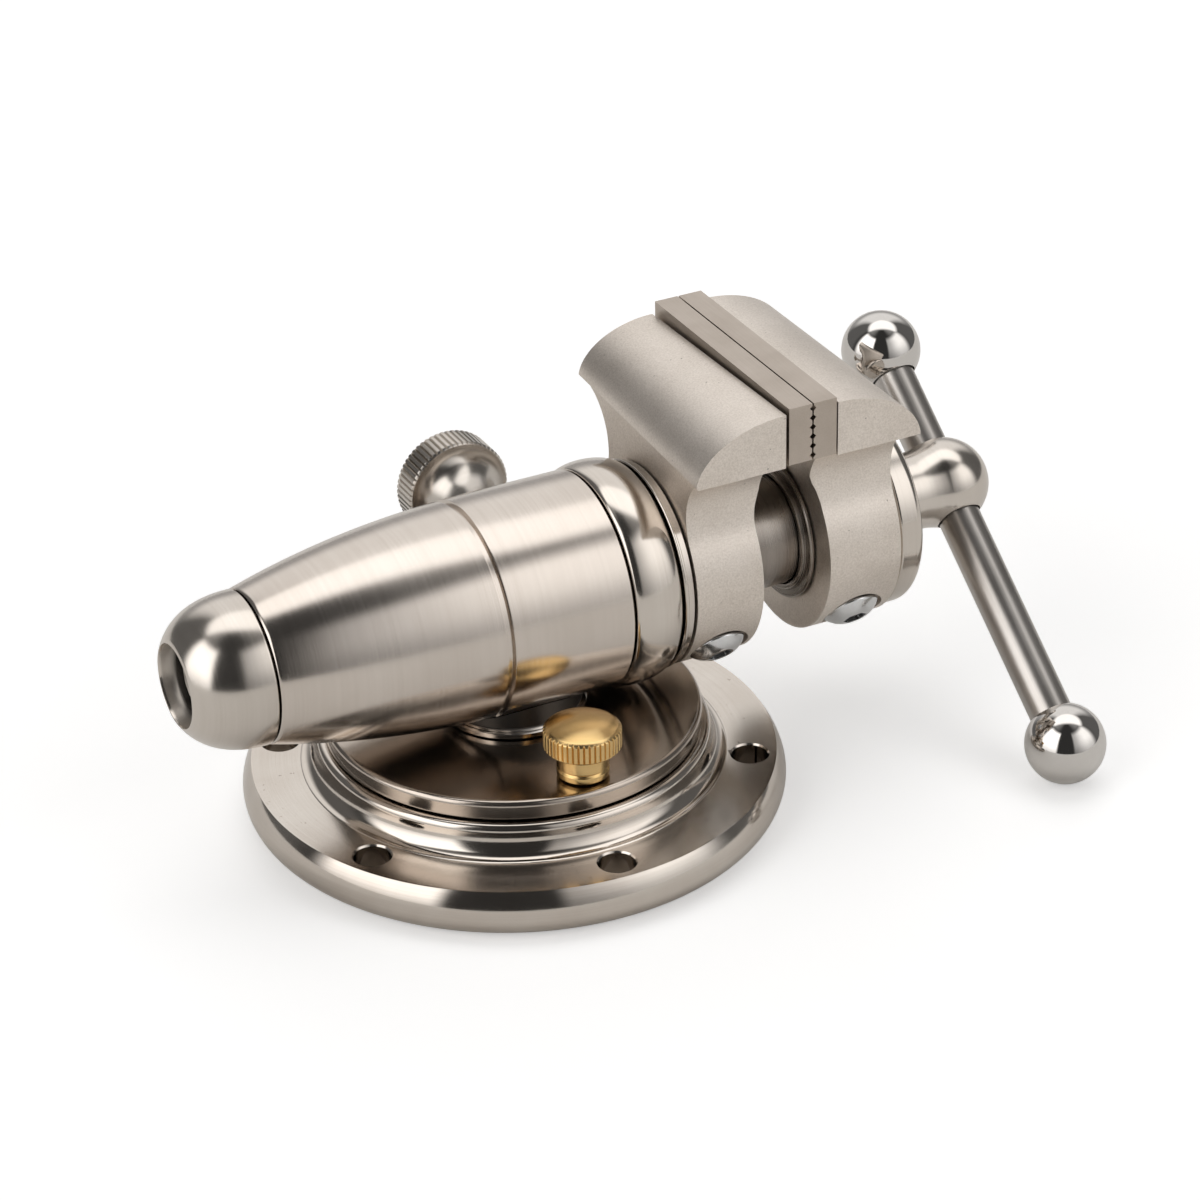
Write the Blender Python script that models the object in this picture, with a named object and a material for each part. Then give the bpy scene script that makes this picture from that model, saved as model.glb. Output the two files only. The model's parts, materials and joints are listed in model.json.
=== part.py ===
"""Swivel bench vise whose jaw head turns in its barrel.

Metres, +Z up. The swivel axis is +Z through the centre of the base's underside.
The barrel's axis is parallel to +X, at barrel_height, and the jaws are at its +X end.
Names ending in _x are stations along the barrel's axis, measured from the swivel axis.
Names ending in _z are heights above the base's underside, and names ending in _rise
are heights above the barrel's axis.
"""
import math

import bmesh
import bpy
from mathutils import Matrix, Vector

mm = 0.001

# Clearances and counts
fit_gap = 0.3 * mm
overrun = 2.0 * mm
edge_chamfer = 0.4 * mm
base_steps = 32
wide_steps = 24
round_steps = 18
rod_steps = 12
small_steps = 10
hex_sides = 6
half_turn_angle = 180.0
quarter_turn_angle = 90.0
X_AXIS = Vector((1, 0, 0))
Y_AXIS = Vector((0, 1, 0))
Z_AXIS = Vector((0, 0, 1))

# Base flange
base_radius = 49.5 * mm
base_height = 9.6 * mm
base_foot_roundness = 5.0 * mm
base_crown_roundness = 10.3 * mm
base_crown_start_angle = 75.0
cove_radius = 3.8 * mm
step_radius_share = 0.699
step_wall_height = 1.9 * mm
bolt_circle_share = 0.8667
bolt_hole_radius = 3.3 * mm
bolt_hole_chamfer = 0.3 * mm
bolt_hole_count = 6
first_bolt_angle = -31.5

# Turntable, and the groove in the base that its lock presses on
turntable_thickness = 3.6 * mm
turntable_edge_share = 0.72
turntable_setback = 0.7 * mm
clamp_groove_wall = 3.0 * mm
clamp_groove_width = 7.0 * mm
clamp_groove_depth = 2.0 * mm

# Swivel pivot, inside the base and the turntable
socket_radius = 15.0 * mm
pivot_radius = 4.0 * mm
pivot_head_radius = 9.0 * mm
pivot_head_height = 3.0 * mm
pivot_thread_end = 0.5 * mm
hub_floor_thickness = 2.2 * mm
swivel_washer_radius = 7.6 * mm
swivel_washer_thickness = 1.1 * mm
swivel_nut_across_corners = 14.4 * mm
swivel_nut_height = 3.6 * mm
thrust_ring_thickness = 1.1 * mm

# Barrel
barrel_radius_share = 0.40404
barrel_front_x = 15.2 * mm
barrel_taper_x = 0.0 * mm
barrel_rear_x = -50.2 * mm
barrel_rear_share = 0.7
barrel_groove_x = -9.1 * mm
barrel_groove_width = 1.2 * mm
barrel_groove_depth = 0.5 * mm
tail_bore_share = 0.54

# Saddle between the turntable and the barrel
saddle_flange_step = 1.0 * mm
saddle_flange_thickness = 1.1 * mm
saddle_web = 1.1 * mm
saddle_neck_share = 0.62
saddle_screw_radius = 1.25 * mm
saddle_screw_head_radius = 2.4 * mm
saddle_screw_depth = 3.0 * mm

# Nose cap at the barrel's rear end
nose_length = 13.8 * mm
nose_lip_share = 0.39
nose_bore_share = 0.33
nose_countersink_depth = 0.7 * mm
nose_spigot_length = 4.0 * mm
nose_spigot_wall = 1.8 * mm

# Bead collar at the barrel's front end
bead_length = 9.4 * mm
bead_bulge_share = 1.06
bead_seat_share = 0.985
bead_front_share = 0.945

# Bush and sleeve, the bearing of the turning head
bush_bore_share = 0.85
bush_rear_x = -6.0 * mm
sleeve_share = 0.75
sleeve_clearance = 0.4 * mm
sleeve_end_clearance = 1.0 * mm
sleeve_overhang = 1.5 * mm
sleeve_seat_wall = 2.5 * mm
lock_ring_width = 1.9 * mm
lock_ring_clearance = 0.8 * mm

# Head collar between the bead and the rear jaw
head_collar_clearance = 0.5 * mm
head_collar_length = 2.2 * mm
head_collar_lip_width = 0.7 * mm
head_collar_groove_depth = 0.5 * mm
head_collar_share = 0.975

# Jaws, alike in outline
jaw_half_width = 24.9 * mm
jaw_plate_thickness = 4.6 * mm
jaw_plate_overhang = 1.0 * mm
jaw_plate_inset = 0.4 * mm
rear_block_length = 17.9 * mm
front_block_length = 17.0 * mm
jaw_block_height = 10.4 * mm
jaw_neck_height = 7.4 * mm
jaw_tip_height = 0.5 * mm
jaw_crown_drop = 0.7 * mm
rear_far_length_share = 0.86
rear_far_height_share = 0.87
front_far_length_share = 1.0
front_far_height_share = 0.93
jaw_ring_share = 0.96
jaw_flare_radius = 11.0 * mm
jaw_relief_height = 1.5 * mm
jaw_relief_corner = 3.0 * mm
rear_plate_gap = 0.6 * mm
rear_relief_depth = 8.0 * mm
rear_ring_length = 13.3 * mm
rear_ring_setback = 1.2 * mm
front_relief_depth = 4.2 * mm
front_ring_length = 14.5 * mm
front_ring_setback = 2.4 * mm
plate_groove_count = 6
plate_groove_depth = 0.5 * mm
plate_screw_spacing = 30.0 * mm
plate_screw_radius = 2.0 * mm
plate_screw_head_radius = 3.9 * mm
plate_screw_length = 11.0 * mm

# Button-head screws in the jaw rings
ring_screw_angle = -42.0
ring_screw_radius = 3.0 * mm
ring_screw_head_radius = 5.25 * mm
ring_screw_head_height = 3.0 * mm
ring_screw_seat_share = 0.905
ring_screw_socket_radius = 2.3 * mm
ring_screw_socket_depth = 1.9 * mm

# Slide tube, which carries the front jaw
tube_share = 0.515
tube_bore_share = 0.32
tube_rear_x = -9.6 * mm
tube_collar_length = 1.5 * mm
tube_collar_step_length = 0.8 * mm
tube_collar_step_share = 0.58
tube_collar_share = 0.67
key_width = 2.4 * mm
key_height = 2.0 * mm
key_length = 7.0 * mm
key_inset = 2.7 * mm

# Lead screw, its nut and its thrust washers
screw_share = 0.25
screw_inset = 3.3 * mm
nut_clearance = 1.9 * mm
nut_length = 10.0 * mm
nut_ring_width = 1.2 * mm
nut_ring_bore_share = 0.37
thrust_collar_share = 0.47
thrust_collar_width = 2.3 * mm
thrust_washer_thickness = 1.0 * mm
screw_tenon_share = 0.17
screw_tenon_length = 9.0 * mm

# Front cap and spindle hub
cap_length = 5.6 * mm
cap_chamfer_length = 2.0 * mm
cap_share = 0.935
cap_front_share = 0.795
hub_clearance = 0.4 * mm
hub_reach = 14.6 * mm
hub_ball_share = 0.425
hub_neck_share = 0.365
hub_pin_radius = 1.2 * mm
hub_pin_inset = 3.0 * mm

# Handle bar and its balls
bar_radius = 4.0 * mm
handle_angle = -36.9
handle_centres = 84.6 * mm
handle_offset = 13.1 * mm
handle_ball_radius = 7.5 * mm
handle_ball_socket_depth = 5.0 * mm

# Steel knob that locks the turning head
head_lock_inset = 5.7 * mm
head_lock_neck_radius = 4.6 * mm
head_lock_neck_length = 9.7 * mm
head_lock_cone_length = 10.3 * mm
head_lock_rim_radius = 10.1 * mm
head_lock_rim_width = 6.6 * mm
head_lock_stud_radius = 2.5 * mm

# Brass knob that locks the swivel
swivel_lock_angle = -90.0
swivel_lock_neck_radius = 4.7 * mm
swivel_lock_neck_length = 5.4 * mm
swivel_lock_groove_height = 1.9 * mm
swivel_lock_groove_depth = 0.5 * mm
swivel_lock_head_radius = 7.0 * mm
swivel_lock_head_height = 4.1 * mm
swivel_lock_dome_height = 1.2 * mm
swivel_lock_stud_radius = 2.5 * mm
swivel_lock_pad_height = 2.0 * mm

# Knurls of both knobs
knurl_depth = 0.5 * mm
head_lock_knurl_count = 20
swivel_lock_knurl_count = 18

# Base and turntable places
half_gap = fit_gap / 2
base_foot_radius = base_radius - base_foot_roundness
base_top_z = base_height
base_crown_start = math.radians(base_crown_start_angle)
base_crown_inset = base_crown_roundness - base_foot_roundness
base_crown_z = base_foot_roundness - base_crown_inset * math.cos(base_crown_start)
base_crown_radius = base_foot_radius - base_crown_inset * math.sin(base_crown_start)
base_crown_end_angle = math.degrees(math.acos((base_top_z - base_crown_z) / base_crown_roundness))
bolt_circle_radius = base_radius * bolt_circle_share
step_radius = base_radius * step_radius_share
step_top_z = base_top_z + cove_radius + step_wall_height
clamp_groove_outer_radius = step_radius - clamp_groove_wall
clamp_groove_inner_radius = clamp_groove_outer_radius - clamp_groove_width
clamp_groove_floor_z = step_top_z - clamp_groove_depth
turntable_radius = step_radius - turntable_setback
turntable_edge_radius = turntable_thickness * turntable_edge_share
turntable_bottom_z = step_top_z + fit_gap
turntable_top_z = turntable_bottom_z + turntable_thickness
swivel_lock_radius = (clamp_groove_inner_radius + clamp_groove_outer_radius) / 2

# Pivot places, from the turntable's top downwards
hub_radius = socket_radius - fit_gap
nut_pocket_radius = swivel_washer_radius + fit_gap
pivot_top_z = turntable_top_z - fit_gap
swivel_nut_z = pivot_top_z - pivot_thread_end - swivel_nut_height
swivel_washer_z = swivel_nut_z - fit_gap - swivel_washer_thickness
pocket_floor_z = swivel_washer_z - fit_gap
hub_bottom_z = pocket_floor_z - hub_floor_thickness
thrust_ring_z = hub_bottom_z - fit_gap - thrust_ring_thickness
socket_floor_z = thrust_ring_z - fit_gap

# Radii about the barrel's axis
barrel_radius = base_radius * barrel_radius_share
barrel_rear_radius = barrel_radius * barrel_rear_share
tail_bore_radius = barrel_radius * tail_bore_share
nose_lip_radius = barrel_radius * nose_lip_share
nose_bore_radius = barrel_radius * nose_bore_share
bead_bulge_radius = barrel_radius * bead_bulge_share
bead_seat_radius = barrel_radius * bead_seat_share
bead_front_radius = barrel_radius * bead_front_share
bush_bore_radius = barrel_radius * bush_bore_share
sleeve_radius = barrel_radius * sleeve_share
sleeve_bore_radius = sleeve_radius + sleeve_clearance
head_collar_radius = barrel_radius * head_collar_share
jaw_ring_radius = barrel_radius * jaw_ring_share
ring_screw_seat = barrel_radius * ring_screw_seat_share
tube_radius = barrel_radius * tube_share
tube_bore_radius = barrel_radius * tube_bore_share
tube_collar_step_radius = barrel_radius * tube_collar_step_share
tube_collar_radius = barrel_radius * tube_collar_share
bore_gap_radius = tube_radius + fit_gap
screw_radius = barrel_radius * screw_share
nut_ring_bore_radius = barrel_radius * nut_ring_bore_share
thrust_collar_radius = barrel_radius * thrust_collar_share
cap_radius = barrel_radius * cap_share
cap_front_radius = barrel_radius * cap_front_share
hub_ball_radius = barrel_radius * hub_ball_share
hub_neck_radius = barrel_radius * hub_neck_share
screw_tenon_radius = barrel_radius * screw_tenon_share

# Saddle places, which set the barrel's height
saddle_neck_radius = barrel_radius * saddle_neck_share
saddle_flange_radius = saddle_neck_radius + saddle_flange_step
saddle_screw_offset = (nut_pocket_radius + saddle_neck_radius) / 2
saddle_bottom_z = turntable_top_z + fit_gap
saddle_step_z = saddle_bottom_z + saddle_flange_thickness
barrel_height = saddle_bottom_z + saddle_web + fit_gap + barrel_radius
barrel_axis = Vector((0, 0, barrel_height))

# Stations from the barrel's front towards the handle
bead_front_x = barrel_front_x + fit_gap + bead_length
head_collar_rear_x = bead_front_x + head_collar_clearance
head_collar_front_x = head_collar_rear_x + head_collar_length
rear_ring_rear_x = head_collar_front_x + fit_gap
rear_ring_front_x = rear_ring_rear_x + rear_ring_length
sleeve_front_x = rear_ring_front_x - sleeve_seat_wall
key_front_x = sleeve_front_x - key_inset
key_rear_x = key_front_x - key_length
rear_block_x = rear_ring_front_x + rear_ring_setback
jaw_seam_x = rear_block_x + rear_plate_gap + jaw_plate_thickness + half_gap
front_block_x = jaw_seam_x + half_gap + jaw_plate_thickness + fit_gap
front_ring_rear_x = front_block_x + front_ring_setback
front_ring_front_x = front_ring_rear_x + front_ring_length
cap_rear_x = front_ring_front_x + fit_gap
cap_front_x = cap_rear_x + cap_length
cap_chamfer_x = cap_front_x - cap_chamfer_length
hub_rear_x = cap_rear_x + hub_clearance
hub_pin_x = cap_rear_x + hub_pin_inset
hub_ball_x = cap_front_x + hub_reach
outer_washer_x = cap_rear_x - fit_gap - thrust_washer_thickness
thrust_collar_x = outer_washer_x - fit_gap - thrust_collar_width
inner_washer_x = thrust_collar_x - fit_gap - thrust_washer_thickness
tube_front_x = inner_washer_x - fit_gap
tube_collar_front_x = front_ring_rear_x - fit_gap
tube_collar_rear_x = tube_collar_front_x - tube_collar_length
tube_collar_step_x = tube_collar_rear_x + tube_collar_step_length
head_lock_x = barrel_front_x - head_lock_inset

# Stations from the slide tube's rear end towards the nose
nut_front_x = tube_rear_x - nut_clearance
nut_rear_x = nut_front_x - nut_length
nut_ring_front_x = nut_rear_x - fit_gap
nut_ring_rear_x = nut_ring_front_x - nut_ring_width
sleeve_rear_x = nut_ring_rear_x - sleeve_overhang
sleeve_bore_end_x = sleeve_rear_x - sleeve_end_clearance
lock_ring_front_x = bush_rear_x - fit_gap
lock_ring_rear_x = lock_ring_front_x - lock_ring_width
bush_bore_end_x = lock_ring_rear_x - lock_ring_clearance
nose_front_x = barrel_rear_x - fit_gap
nose_mouth_x = nose_front_x - nose_length
screw_rear_x = nose_mouth_x + screw_inset

# Heights of the jaws above the barrel's axis
jaw_block_bottom_rise = jaw_ring_radius + jaw_neck_height
jaw_plate_bottom_rise = jaw_block_bottom_rise + jaw_plate_inset
jaw_plate_top_rise = jaw_block_bottom_rise + jaw_block_height + jaw_plate_overhang
jaw_plate_height = jaw_plate_top_rise - jaw_plate_bottom_rise
plate_middle_rise = (jaw_block_bottom_rise + jaw_plate_top_rise) / 2

# Places of the handle and of both knobs
handle_direction = Vector((0, -math.cos(math.radians(handle_angle)), math.sin(math.radians(handle_angle))))
ring_screw_turn = math.radians(ring_screw_angle)
ring_screw_direction = Vector((0, -math.cos(ring_screw_turn), math.sin(ring_screw_turn)))
head_lock_foot = barrel_radius + fit_gap
head_lock_neck_outer = head_lock_foot + head_lock_neck_length
head_lock_rim_inner = head_lock_neck_outer + head_lock_cone_length
head_lock_rim_outer = head_lock_rim_inner + head_lock_rim_width
swivel_lock_foot_z = turntable_top_z + fit_gap
swivel_lock_groove_z = swivel_lock_foot_z + swivel_lock_groove_height
swivel_lock_head_bottom_z = swivel_lock_foot_z + swivel_lock_neck_length
swivel_lock_head_edge_z = swivel_lock_head_bottom_z + swivel_lock_head_height
swivel_lock_head_top_z = swivel_lock_head_edge_z + swivel_lock_dome_height


def clear_scene():
    """Remove whatever objects the open file holds."""
    for existing in list(bpy.data.objects):
        bpy.data.objects.remove(existing, do_unlink=True)


def metal(name, colour, roughness, metallic=1.0):
    """A Principled material with one colour, roughness and metallic value."""
    material = bpy.data.materials.new(name)
    material.use_nodes = True
    shader = material.node_tree.nodes["Principled BSDF"]
    shader.inputs["Base Color"].default_value = (*colour, 1.0)
    shader.inputs["Roughness"].default_value = roughness
    shader.inputs["Metallic"].default_value = metallic
    material.diffuse_color = (*colour, 1.0)
    return material


def carrier(name, place, parent=None):
    """An empty on a joint's axis, which carries one moving group."""
    empty = bpy.data.objects.new(name, None)
    bpy.context.scene.collection.objects.link(empty)
    if parent:
        empty.parent = parent
        empty.location = place - parent_place(parent)
    else:
        empty.location = place
    return empty


def parent_place(item):
    """World place of an empty that is only moved, never turned."""
    place = Vector(item.location)
    while item.parent:
        item = item.parent
        place += item.location
    return place


def new_piece(name, bm, parent, material, place=None, smooth_angle=32.0):
    """Turn a bmesh into a named object whose origin is on its group's joint axis."""
    bmesh.ops.remove_doubles(bm, verts=bm.verts, dist=fit_gap / 100)
    bmesh.ops.recalc_face_normals(bm, faces=bm.faces)
    mesh = bpy.data.meshes.new(name)
    bm.to_mesh(mesh)
    bm.free()
    if material:
        mesh.materials.append(material)
    mesh.shade_smooth()
    mesh.set_sharp_from_angle(angle=math.radians(smooth_angle))
    piece = bpy.data.objects.new(name, mesh)
    bpy.context.scene.collection.objects.link(piece)
    if parent:
        piece.parent = parent
    if place is not None:
        piece.location = place
    return piece


def across(axis):
    """A direction at right angles to an axis, from which outlines are turned."""
    if abs(axis.z) > 0.5:
        return X_AXIS.copy()
    return Z_AXIS.copy()


def turned(outline, axis=X_AXIS, steps=round_steps, centre=Vector((0, 0, 0)), bm=None):
    """Spin an outline of (station, radius) points about an axis through the centre.

    The outline is closed, except where it starts and ends on the axis.
    """
    bm = bm or bmesh.new()
    radial = across(axis)
    points = [bm.verts.new(centre + axis * station + radial * radius) for station, radius in outline]
    edges = [bm.edges.new(pair) for pair in zip(points, points[1:])]
    if outline[0][1] > 0 or outline[-1][1] > 0:
        edges.append(bm.edges.new((points[-1], points[0])))
    bmesh.ops.spin(
        bm,
        geom=points + edges,
        cent=centre,
        axis=axis,
        angle=math.tau,
        steps=steps,
        use_merge=True,
    )
    bmesh.ops.remove_doubles(bm, verts=bm.verts, dist=fit_gap / 100)
    return bm


def rod(start, end, radius, chamfer=0.0):
    """Outline of a solid rod from one station to another, with chamfered ends."""
    if chamfer <= 0:
        return [(start, 0), (start, radius), (end, radius), (end, 0)]
    return [
        (start, 0),
        (start, radius - chamfer),
        (start + chamfer, radius),
        (end - chamfer, radius),
        (end, radius - chamfer),
        (end, 0),
    ]


def tube(start, end, radius, bore, chamfer=0.0):
    """Outline of a tube's wall from one station to another, with chamfered outer edges."""
    if chamfer <= 0:
        return [(start, bore), (start, radius), (end, radius), (end, bore)]
    return [
        (start, bore),
        (start, radius - chamfer),
        (start + chamfer, radius),
        (end - chamfer, radius),
        (end, radius - chamfer),
        (end, bore),
    ]


def arc(centre, radius, start, end, steps, radius_2=None):
    """Points of an arc or a quarter ellipse, from one angle to another in degrees."""
    radius_2 = radius if radius_2 is None else radius_2
    points = []
    for step in range(steps + 1):
        angle = math.radians(start + (end - start) * step / steps)
        points.append((centre[0] + radius * math.cos(angle), centre[1] + radius_2 * math.sin(angle)))
    return points


def prism(outline, start, end, place, bm=None):
    """Extrude a flat outline; place(u, v, w) gives the point of outline (u, v) at depth w."""
    bm = bm or bmesh.new()
    corners = [bm.verts.new(place(u, v, start)) for u, v in outline]
    face = bm.faces.new(corners)
    pushed = bmesh.ops.extrude_face_region(bm, geom=[face])
    moved = [item for item in pushed["geom"] if isinstance(item, bmesh.types.BMVert)]
    shift = place(0, 0, end) - place(0, 0, start)
    bmesh.ops.translate(bm, verts=moved, vec=shift)
    return bm


def side_view(u, v, w):
    """Outline in the XZ plane, extruded along Y."""
    return Vector((u, w, v))


def front_view(u, v, w):
    """Outline in the YZ plane, extruded along X."""
    return Vector((w, u, v))


def cutter(name, bm, target, operation="DIFFERENCE"):
    """Apply a Boolean to the target by a hidden wire object."""
    tool = new_piece(name, bm, target.parent, None)
    tool.hide_render = True
    tool.display_type = "WIRE"
    tool.location = target.location
    modifier = target.modifiers.new(name, "BOOLEAN")
    modifier.operation = operation
    modifier.solver = "EXACT"
    modifier.object = tool
    return tool


def around(radius, angle):
    """A point on a level circle about the swivel axis."""
    return Vector((radius * math.cos(math.radians(angle)), radius * math.sin(math.radians(angle)), 0))


def knurled(bm, axis, low, high, radius, ridge_count):
    """Press straight knurls into a turned rim, between two stations."""
    for vert in bm.verts:
        station = vert.co.dot(axis)
        radial = vert.co - axis * station
        if low <= station <= high and radial.length > radius - knurl_depth / 2:
            turn = math.atan2(radial.dot(axis.cross(across(axis))), radial.dot(across(axis)))
            ridge = round(turn / math.tau * ridge_count * 2) % 2
            vert.co -= radial.normalized() * knurl_depth * ridge


# Materials
clear_scene()
barrel_metal = metal("satin_nickel", (0.60, 0.55, 0.49), 0.3)
polished_metal = metal("polished_nickel", (0.72, 0.69, 0.65), 0.1)
jaw_metal = metal("blasted_nickel", (0.62, 0.57, 0.52), 0.45)
plate_metal = metal("ground_steel", (0.42, 0.37, 0.33), 0.38)
screw_metal = metal("bright_zinc", (0.70, 0.70, 0.70), 0.2)
brass_metal = metal("polished_brass", (0.75, 0.55, 0.26), 0.2)
bronze_metal = metal("bearing_bronze", (0.55, 0.36, 0.19), 0.4)
steel_metal = metal("bright_steel", (0.55, 0.54, 0.53), 0.25)

# Groups, each on the axis that it moves about or along
swivel_lock_place = around(swivel_lock_radius, swivel_lock_angle)
hub_place = barrel_axis + X_AXIS * hub_ball_x
head_lock_place = barrel_axis + X_AXIS * head_lock_x
base = carrier("base", Vector((0, 0, 0)))
turret = carrier("turret", Vector((0, 0, 0)))
barrel_group = carrier("barrel_group", barrel_axis, turret)
head = carrier("head", barrel_axis, turret)
front_slide = carrier("front_slide", barrel_axis, head)
spindle = carrier("spindle", barrel_axis, front_slide)
handle = carrier("handle", hub_place, spindle)
swivel_lock = carrier("swivel_lock", swivel_lock_place, turret)
head_lock = carrier("head_lock", head_lock_place, turret)


def make_base_flange():
    """The round foot: a flange with six bolt holes, a cove and a step for the turntable."""
    cove_end = step_radius + cove_radius
    outline = [
        (0, pivot_head_radius + fit_gap),
    ]
    outline += arc((base_foot_roundness, base_foot_radius), base_foot_roundness, half_turn_angle, quarter_turn_angle, 3)
    crown_centre = (base_crown_z, base_crown_radius)
    outline += arc(crown_centre, base_crown_roundness, base_crown_start_angle, base_crown_end_angle, 3)
    cove_start_angle = half_turn_angle
    cove_end_angle = half_turn_angle + quarter_turn_angle
    outline += arc((base_top_z + cove_radius, cove_end), cove_radius, cove_start_angle, cove_end_angle, 3)
    outline += [
        (step_top_z - edge_chamfer, step_radius),
        (step_top_z, step_radius - edge_chamfer),
        (step_top_z, clamp_groove_outer_radius),
        (clamp_groove_floor_z, clamp_groove_outer_radius),
        (clamp_groove_floor_z, clamp_groove_inner_radius),
        (step_top_z, clamp_groove_inner_radius),
        (step_top_z, socket_radius),
        (socket_floor_z, socket_radius),
        (socket_floor_z, pivot_radius + fit_gap),
        (pivot_head_height + fit_gap, pivot_radius + fit_gap),
        (pivot_head_height + fit_gap, pivot_head_radius + fit_gap),
    ]
    flange = new_piece("base_flange", turned(outline, Z_AXIS, base_steps), base, barrel_metal)
    wide = bolt_hole_radius + bolt_hole_chamfer
    hole = [
        (-overrun, 0),
        (-overrun, bolt_hole_radius),
        (base_top_z - bolt_hole_chamfer, bolt_hole_radius),
        (base_top_z, wide),
        (base_top_z + overrun, wide),
        (base_top_z + overrun, 0),
    ]
    holes = bmesh.new()
    for index in range(bolt_hole_count):
        angle = first_bolt_angle + 360 * index / bolt_hole_count
        turned(hole, Z_AXIS, small_steps, around(bolt_circle_radius, angle), holes)
    cutter("base_flange_holes", holes, flange)


def make_pivot():
    """The bolt, thrust ring, washer and nut that hold the turntable on the base."""
    bolt = [
        (0, 0),
        (0, pivot_head_radius),
        (pivot_head_height, pivot_head_radius),
        (pivot_head_height, pivot_radius),
        (pivot_top_z - edge_chamfer, pivot_radius),
        (pivot_top_z, pivot_radius - edge_chamfer),
        (pivot_top_z, 0),
    ]
    new_piece("pivot_bolt", turned(bolt, Z_AXIS), base, steel_metal)
    ring_top = thrust_ring_z + thrust_ring_thickness
    thrust = tube(thrust_ring_z, ring_top, hub_radius, pivot_radius + fit_gap)
    new_piece("swivel_thrust_ring", turned(thrust, Z_AXIS), base, bronze_metal)
    washer_top = swivel_washer_z + swivel_washer_thickness
    washer = tube(swivel_washer_z, washer_top, swivel_washer_radius, pivot_radius + fit_gap)
    new_piece("swivel_washer", turned(washer, Z_AXIS), base, screw_metal)
    nut_top = swivel_nut_z + swivel_nut_height
    new_piece("swivel_nut", hex_nut(nut_top), base, screw_metal)


def hex_nut(nut_top):
    """A hexagonal nut round the pivot bolt."""
    bm = bmesh.new()
    outer = []
    inner = []
    for index in range(hex_sides * 4):
        turn = math.tau * index / (hex_sides * 4)
        inner.append(Vector((math.cos(turn), math.sin(turn), 0)) * (pivot_radius + fit_gap))
        side = (turn + math.pi / hex_sides) % (math.tau / hex_sides) - math.pi / hex_sides
        flat_distance = swivel_nut_across_corners / 2 * math.cos(math.pi / hex_sides)
        reach = flat_distance / math.cos(side)
        outer.append(Vector((math.cos(turn), math.sin(turn), 0)) * reach)
    rings = []
    for loop, height in ((outer, swivel_nut_z), (outer, nut_top), (inner, nut_top), (inner, swivel_nut_z)):
        rings.append([bm.verts.new(point + Z_AXIS * height) for point in loop])
    for ring, following in zip(rings, rings[1:] + rings[:1]):
        for index in range(len(ring)):
            after = (index + 1) % len(ring)
            bm.faces.new((ring[index], ring[after], following[after], following[index]))
    return bm


def make_turntable():
    """The disc that swivels on the base, with its hub, nut pocket and lock-screw hole."""
    edge_centre = (turntable_top_z - turntable_edge_radius, turntable_radius - turntable_edge_radius)
    outline = [
        (hub_bottom_z, pivot_radius + fit_gap),
        (hub_bottom_z, hub_radius),
        (turntable_bottom_z, hub_radius),
        (turntable_bottom_z, turntable_radius - edge_chamfer),
        (turntable_bottom_z + edge_chamfer, turntable_radius),
    ]
    outline += arc(edge_centre, turntable_edge_radius, quarter_turn_angle, 0, 4)
    outline += [
        (turntable_top_z, nut_pocket_radius),
        (pocket_floor_z, nut_pocket_radius),
        (pocket_floor_z, pivot_radius + fit_gap),
    ]
    disc = new_piece("turntable", turned(outline, Z_AXIS, base_steps), turret, barrel_metal)
    holes = turned(
        rod(turntable_bottom_z - overrun, turntable_top_z + overrun, swivel_lock_stud_radius + fit_gap),
        Z_AXIS,
        small_steps,
        swivel_lock_place,
    )
    for side in (-1, 1):
        hole = rod(
            turntable_top_z - saddle_screw_depth - fit_gap,
            turntable_top_z + overrun,
            saddle_screw_radius + fit_gap,
        )
        turned(hole, Z_AXIS, small_steps, X_AXIS * side * saddle_screw_offset, holes)
    cutter("turntable_holes", holes, disc)


def make_saddle():
    """The short neck under the barrel, hollowed to the barrel's curve, and its two screws."""
    top_z = barrel_height - barrel_radius / 2
    outline = [
        (saddle_bottom_z, 0),
        (saddle_bottom_z, saddle_flange_radius),
        (saddle_step_z - edge_chamfer, saddle_flange_radius),
        (saddle_step_z, saddle_flange_radius - edge_chamfer),
        (saddle_step_z, saddle_neck_radius),
        (top_z, saddle_neck_radius),
        (top_z, 0),
    ]
    saddle = new_piece("barrel_saddle", turned(outline, Z_AXIS), turret, barrel_metal)
    hollow = turned(
        rod(-saddle_flange_radius - overrun, saddle_flange_radius + overrun, barrel_radius + fit_gap),
        X_AXIS,
        wide_steps,
        barrel_axis,
    )
    cutter("barrel_saddle_hollow", hollow, saddle)
    holes = bmesh.new()
    for side in (-1, 1):
        hole = rod(saddle_bottom_z - overrun, top_z, saddle_screw_radius + fit_gap)
        turned(hole, Z_AXIS, small_steps, X_AXIS * side * saddle_screw_offset, holes)
    cutter("barrel_saddle_holes", holes, saddle)
    head_top_z = barrel_height - bush_bore_radius - 2 * fit_gap
    head_low_z = head_top_z - (saddle_screw_head_radius - saddle_screw_radius)
    screw = [
        (turntable_top_z - saddle_screw_depth, 0),
        (turntable_top_z - saddle_screw_depth, saddle_screw_radius),
        (head_low_z, saddle_screw_radius),
        (head_top_z, saddle_screw_head_radius),
        (head_top_z, 0),
    ]
    for name, side in (("rear_saddle_screw", -1), ("front_saddle_screw", 1)):
        place = X_AXIS * side * saddle_screw_offset
        new_piece(name, turned(screw, Z_AXIS, small_steps, place), turret, screw_metal)


def barrel_outline_radius(station):
    """Outer radius of the barrel, which tapers along a curve behind its straight part."""
    share = max(0.0, (barrel_taper_x - station) / (barrel_taper_x - barrel_rear_x))
    return barrel_radius - (barrel_radius - barrel_rear_radius) * share ** 2.25


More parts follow.
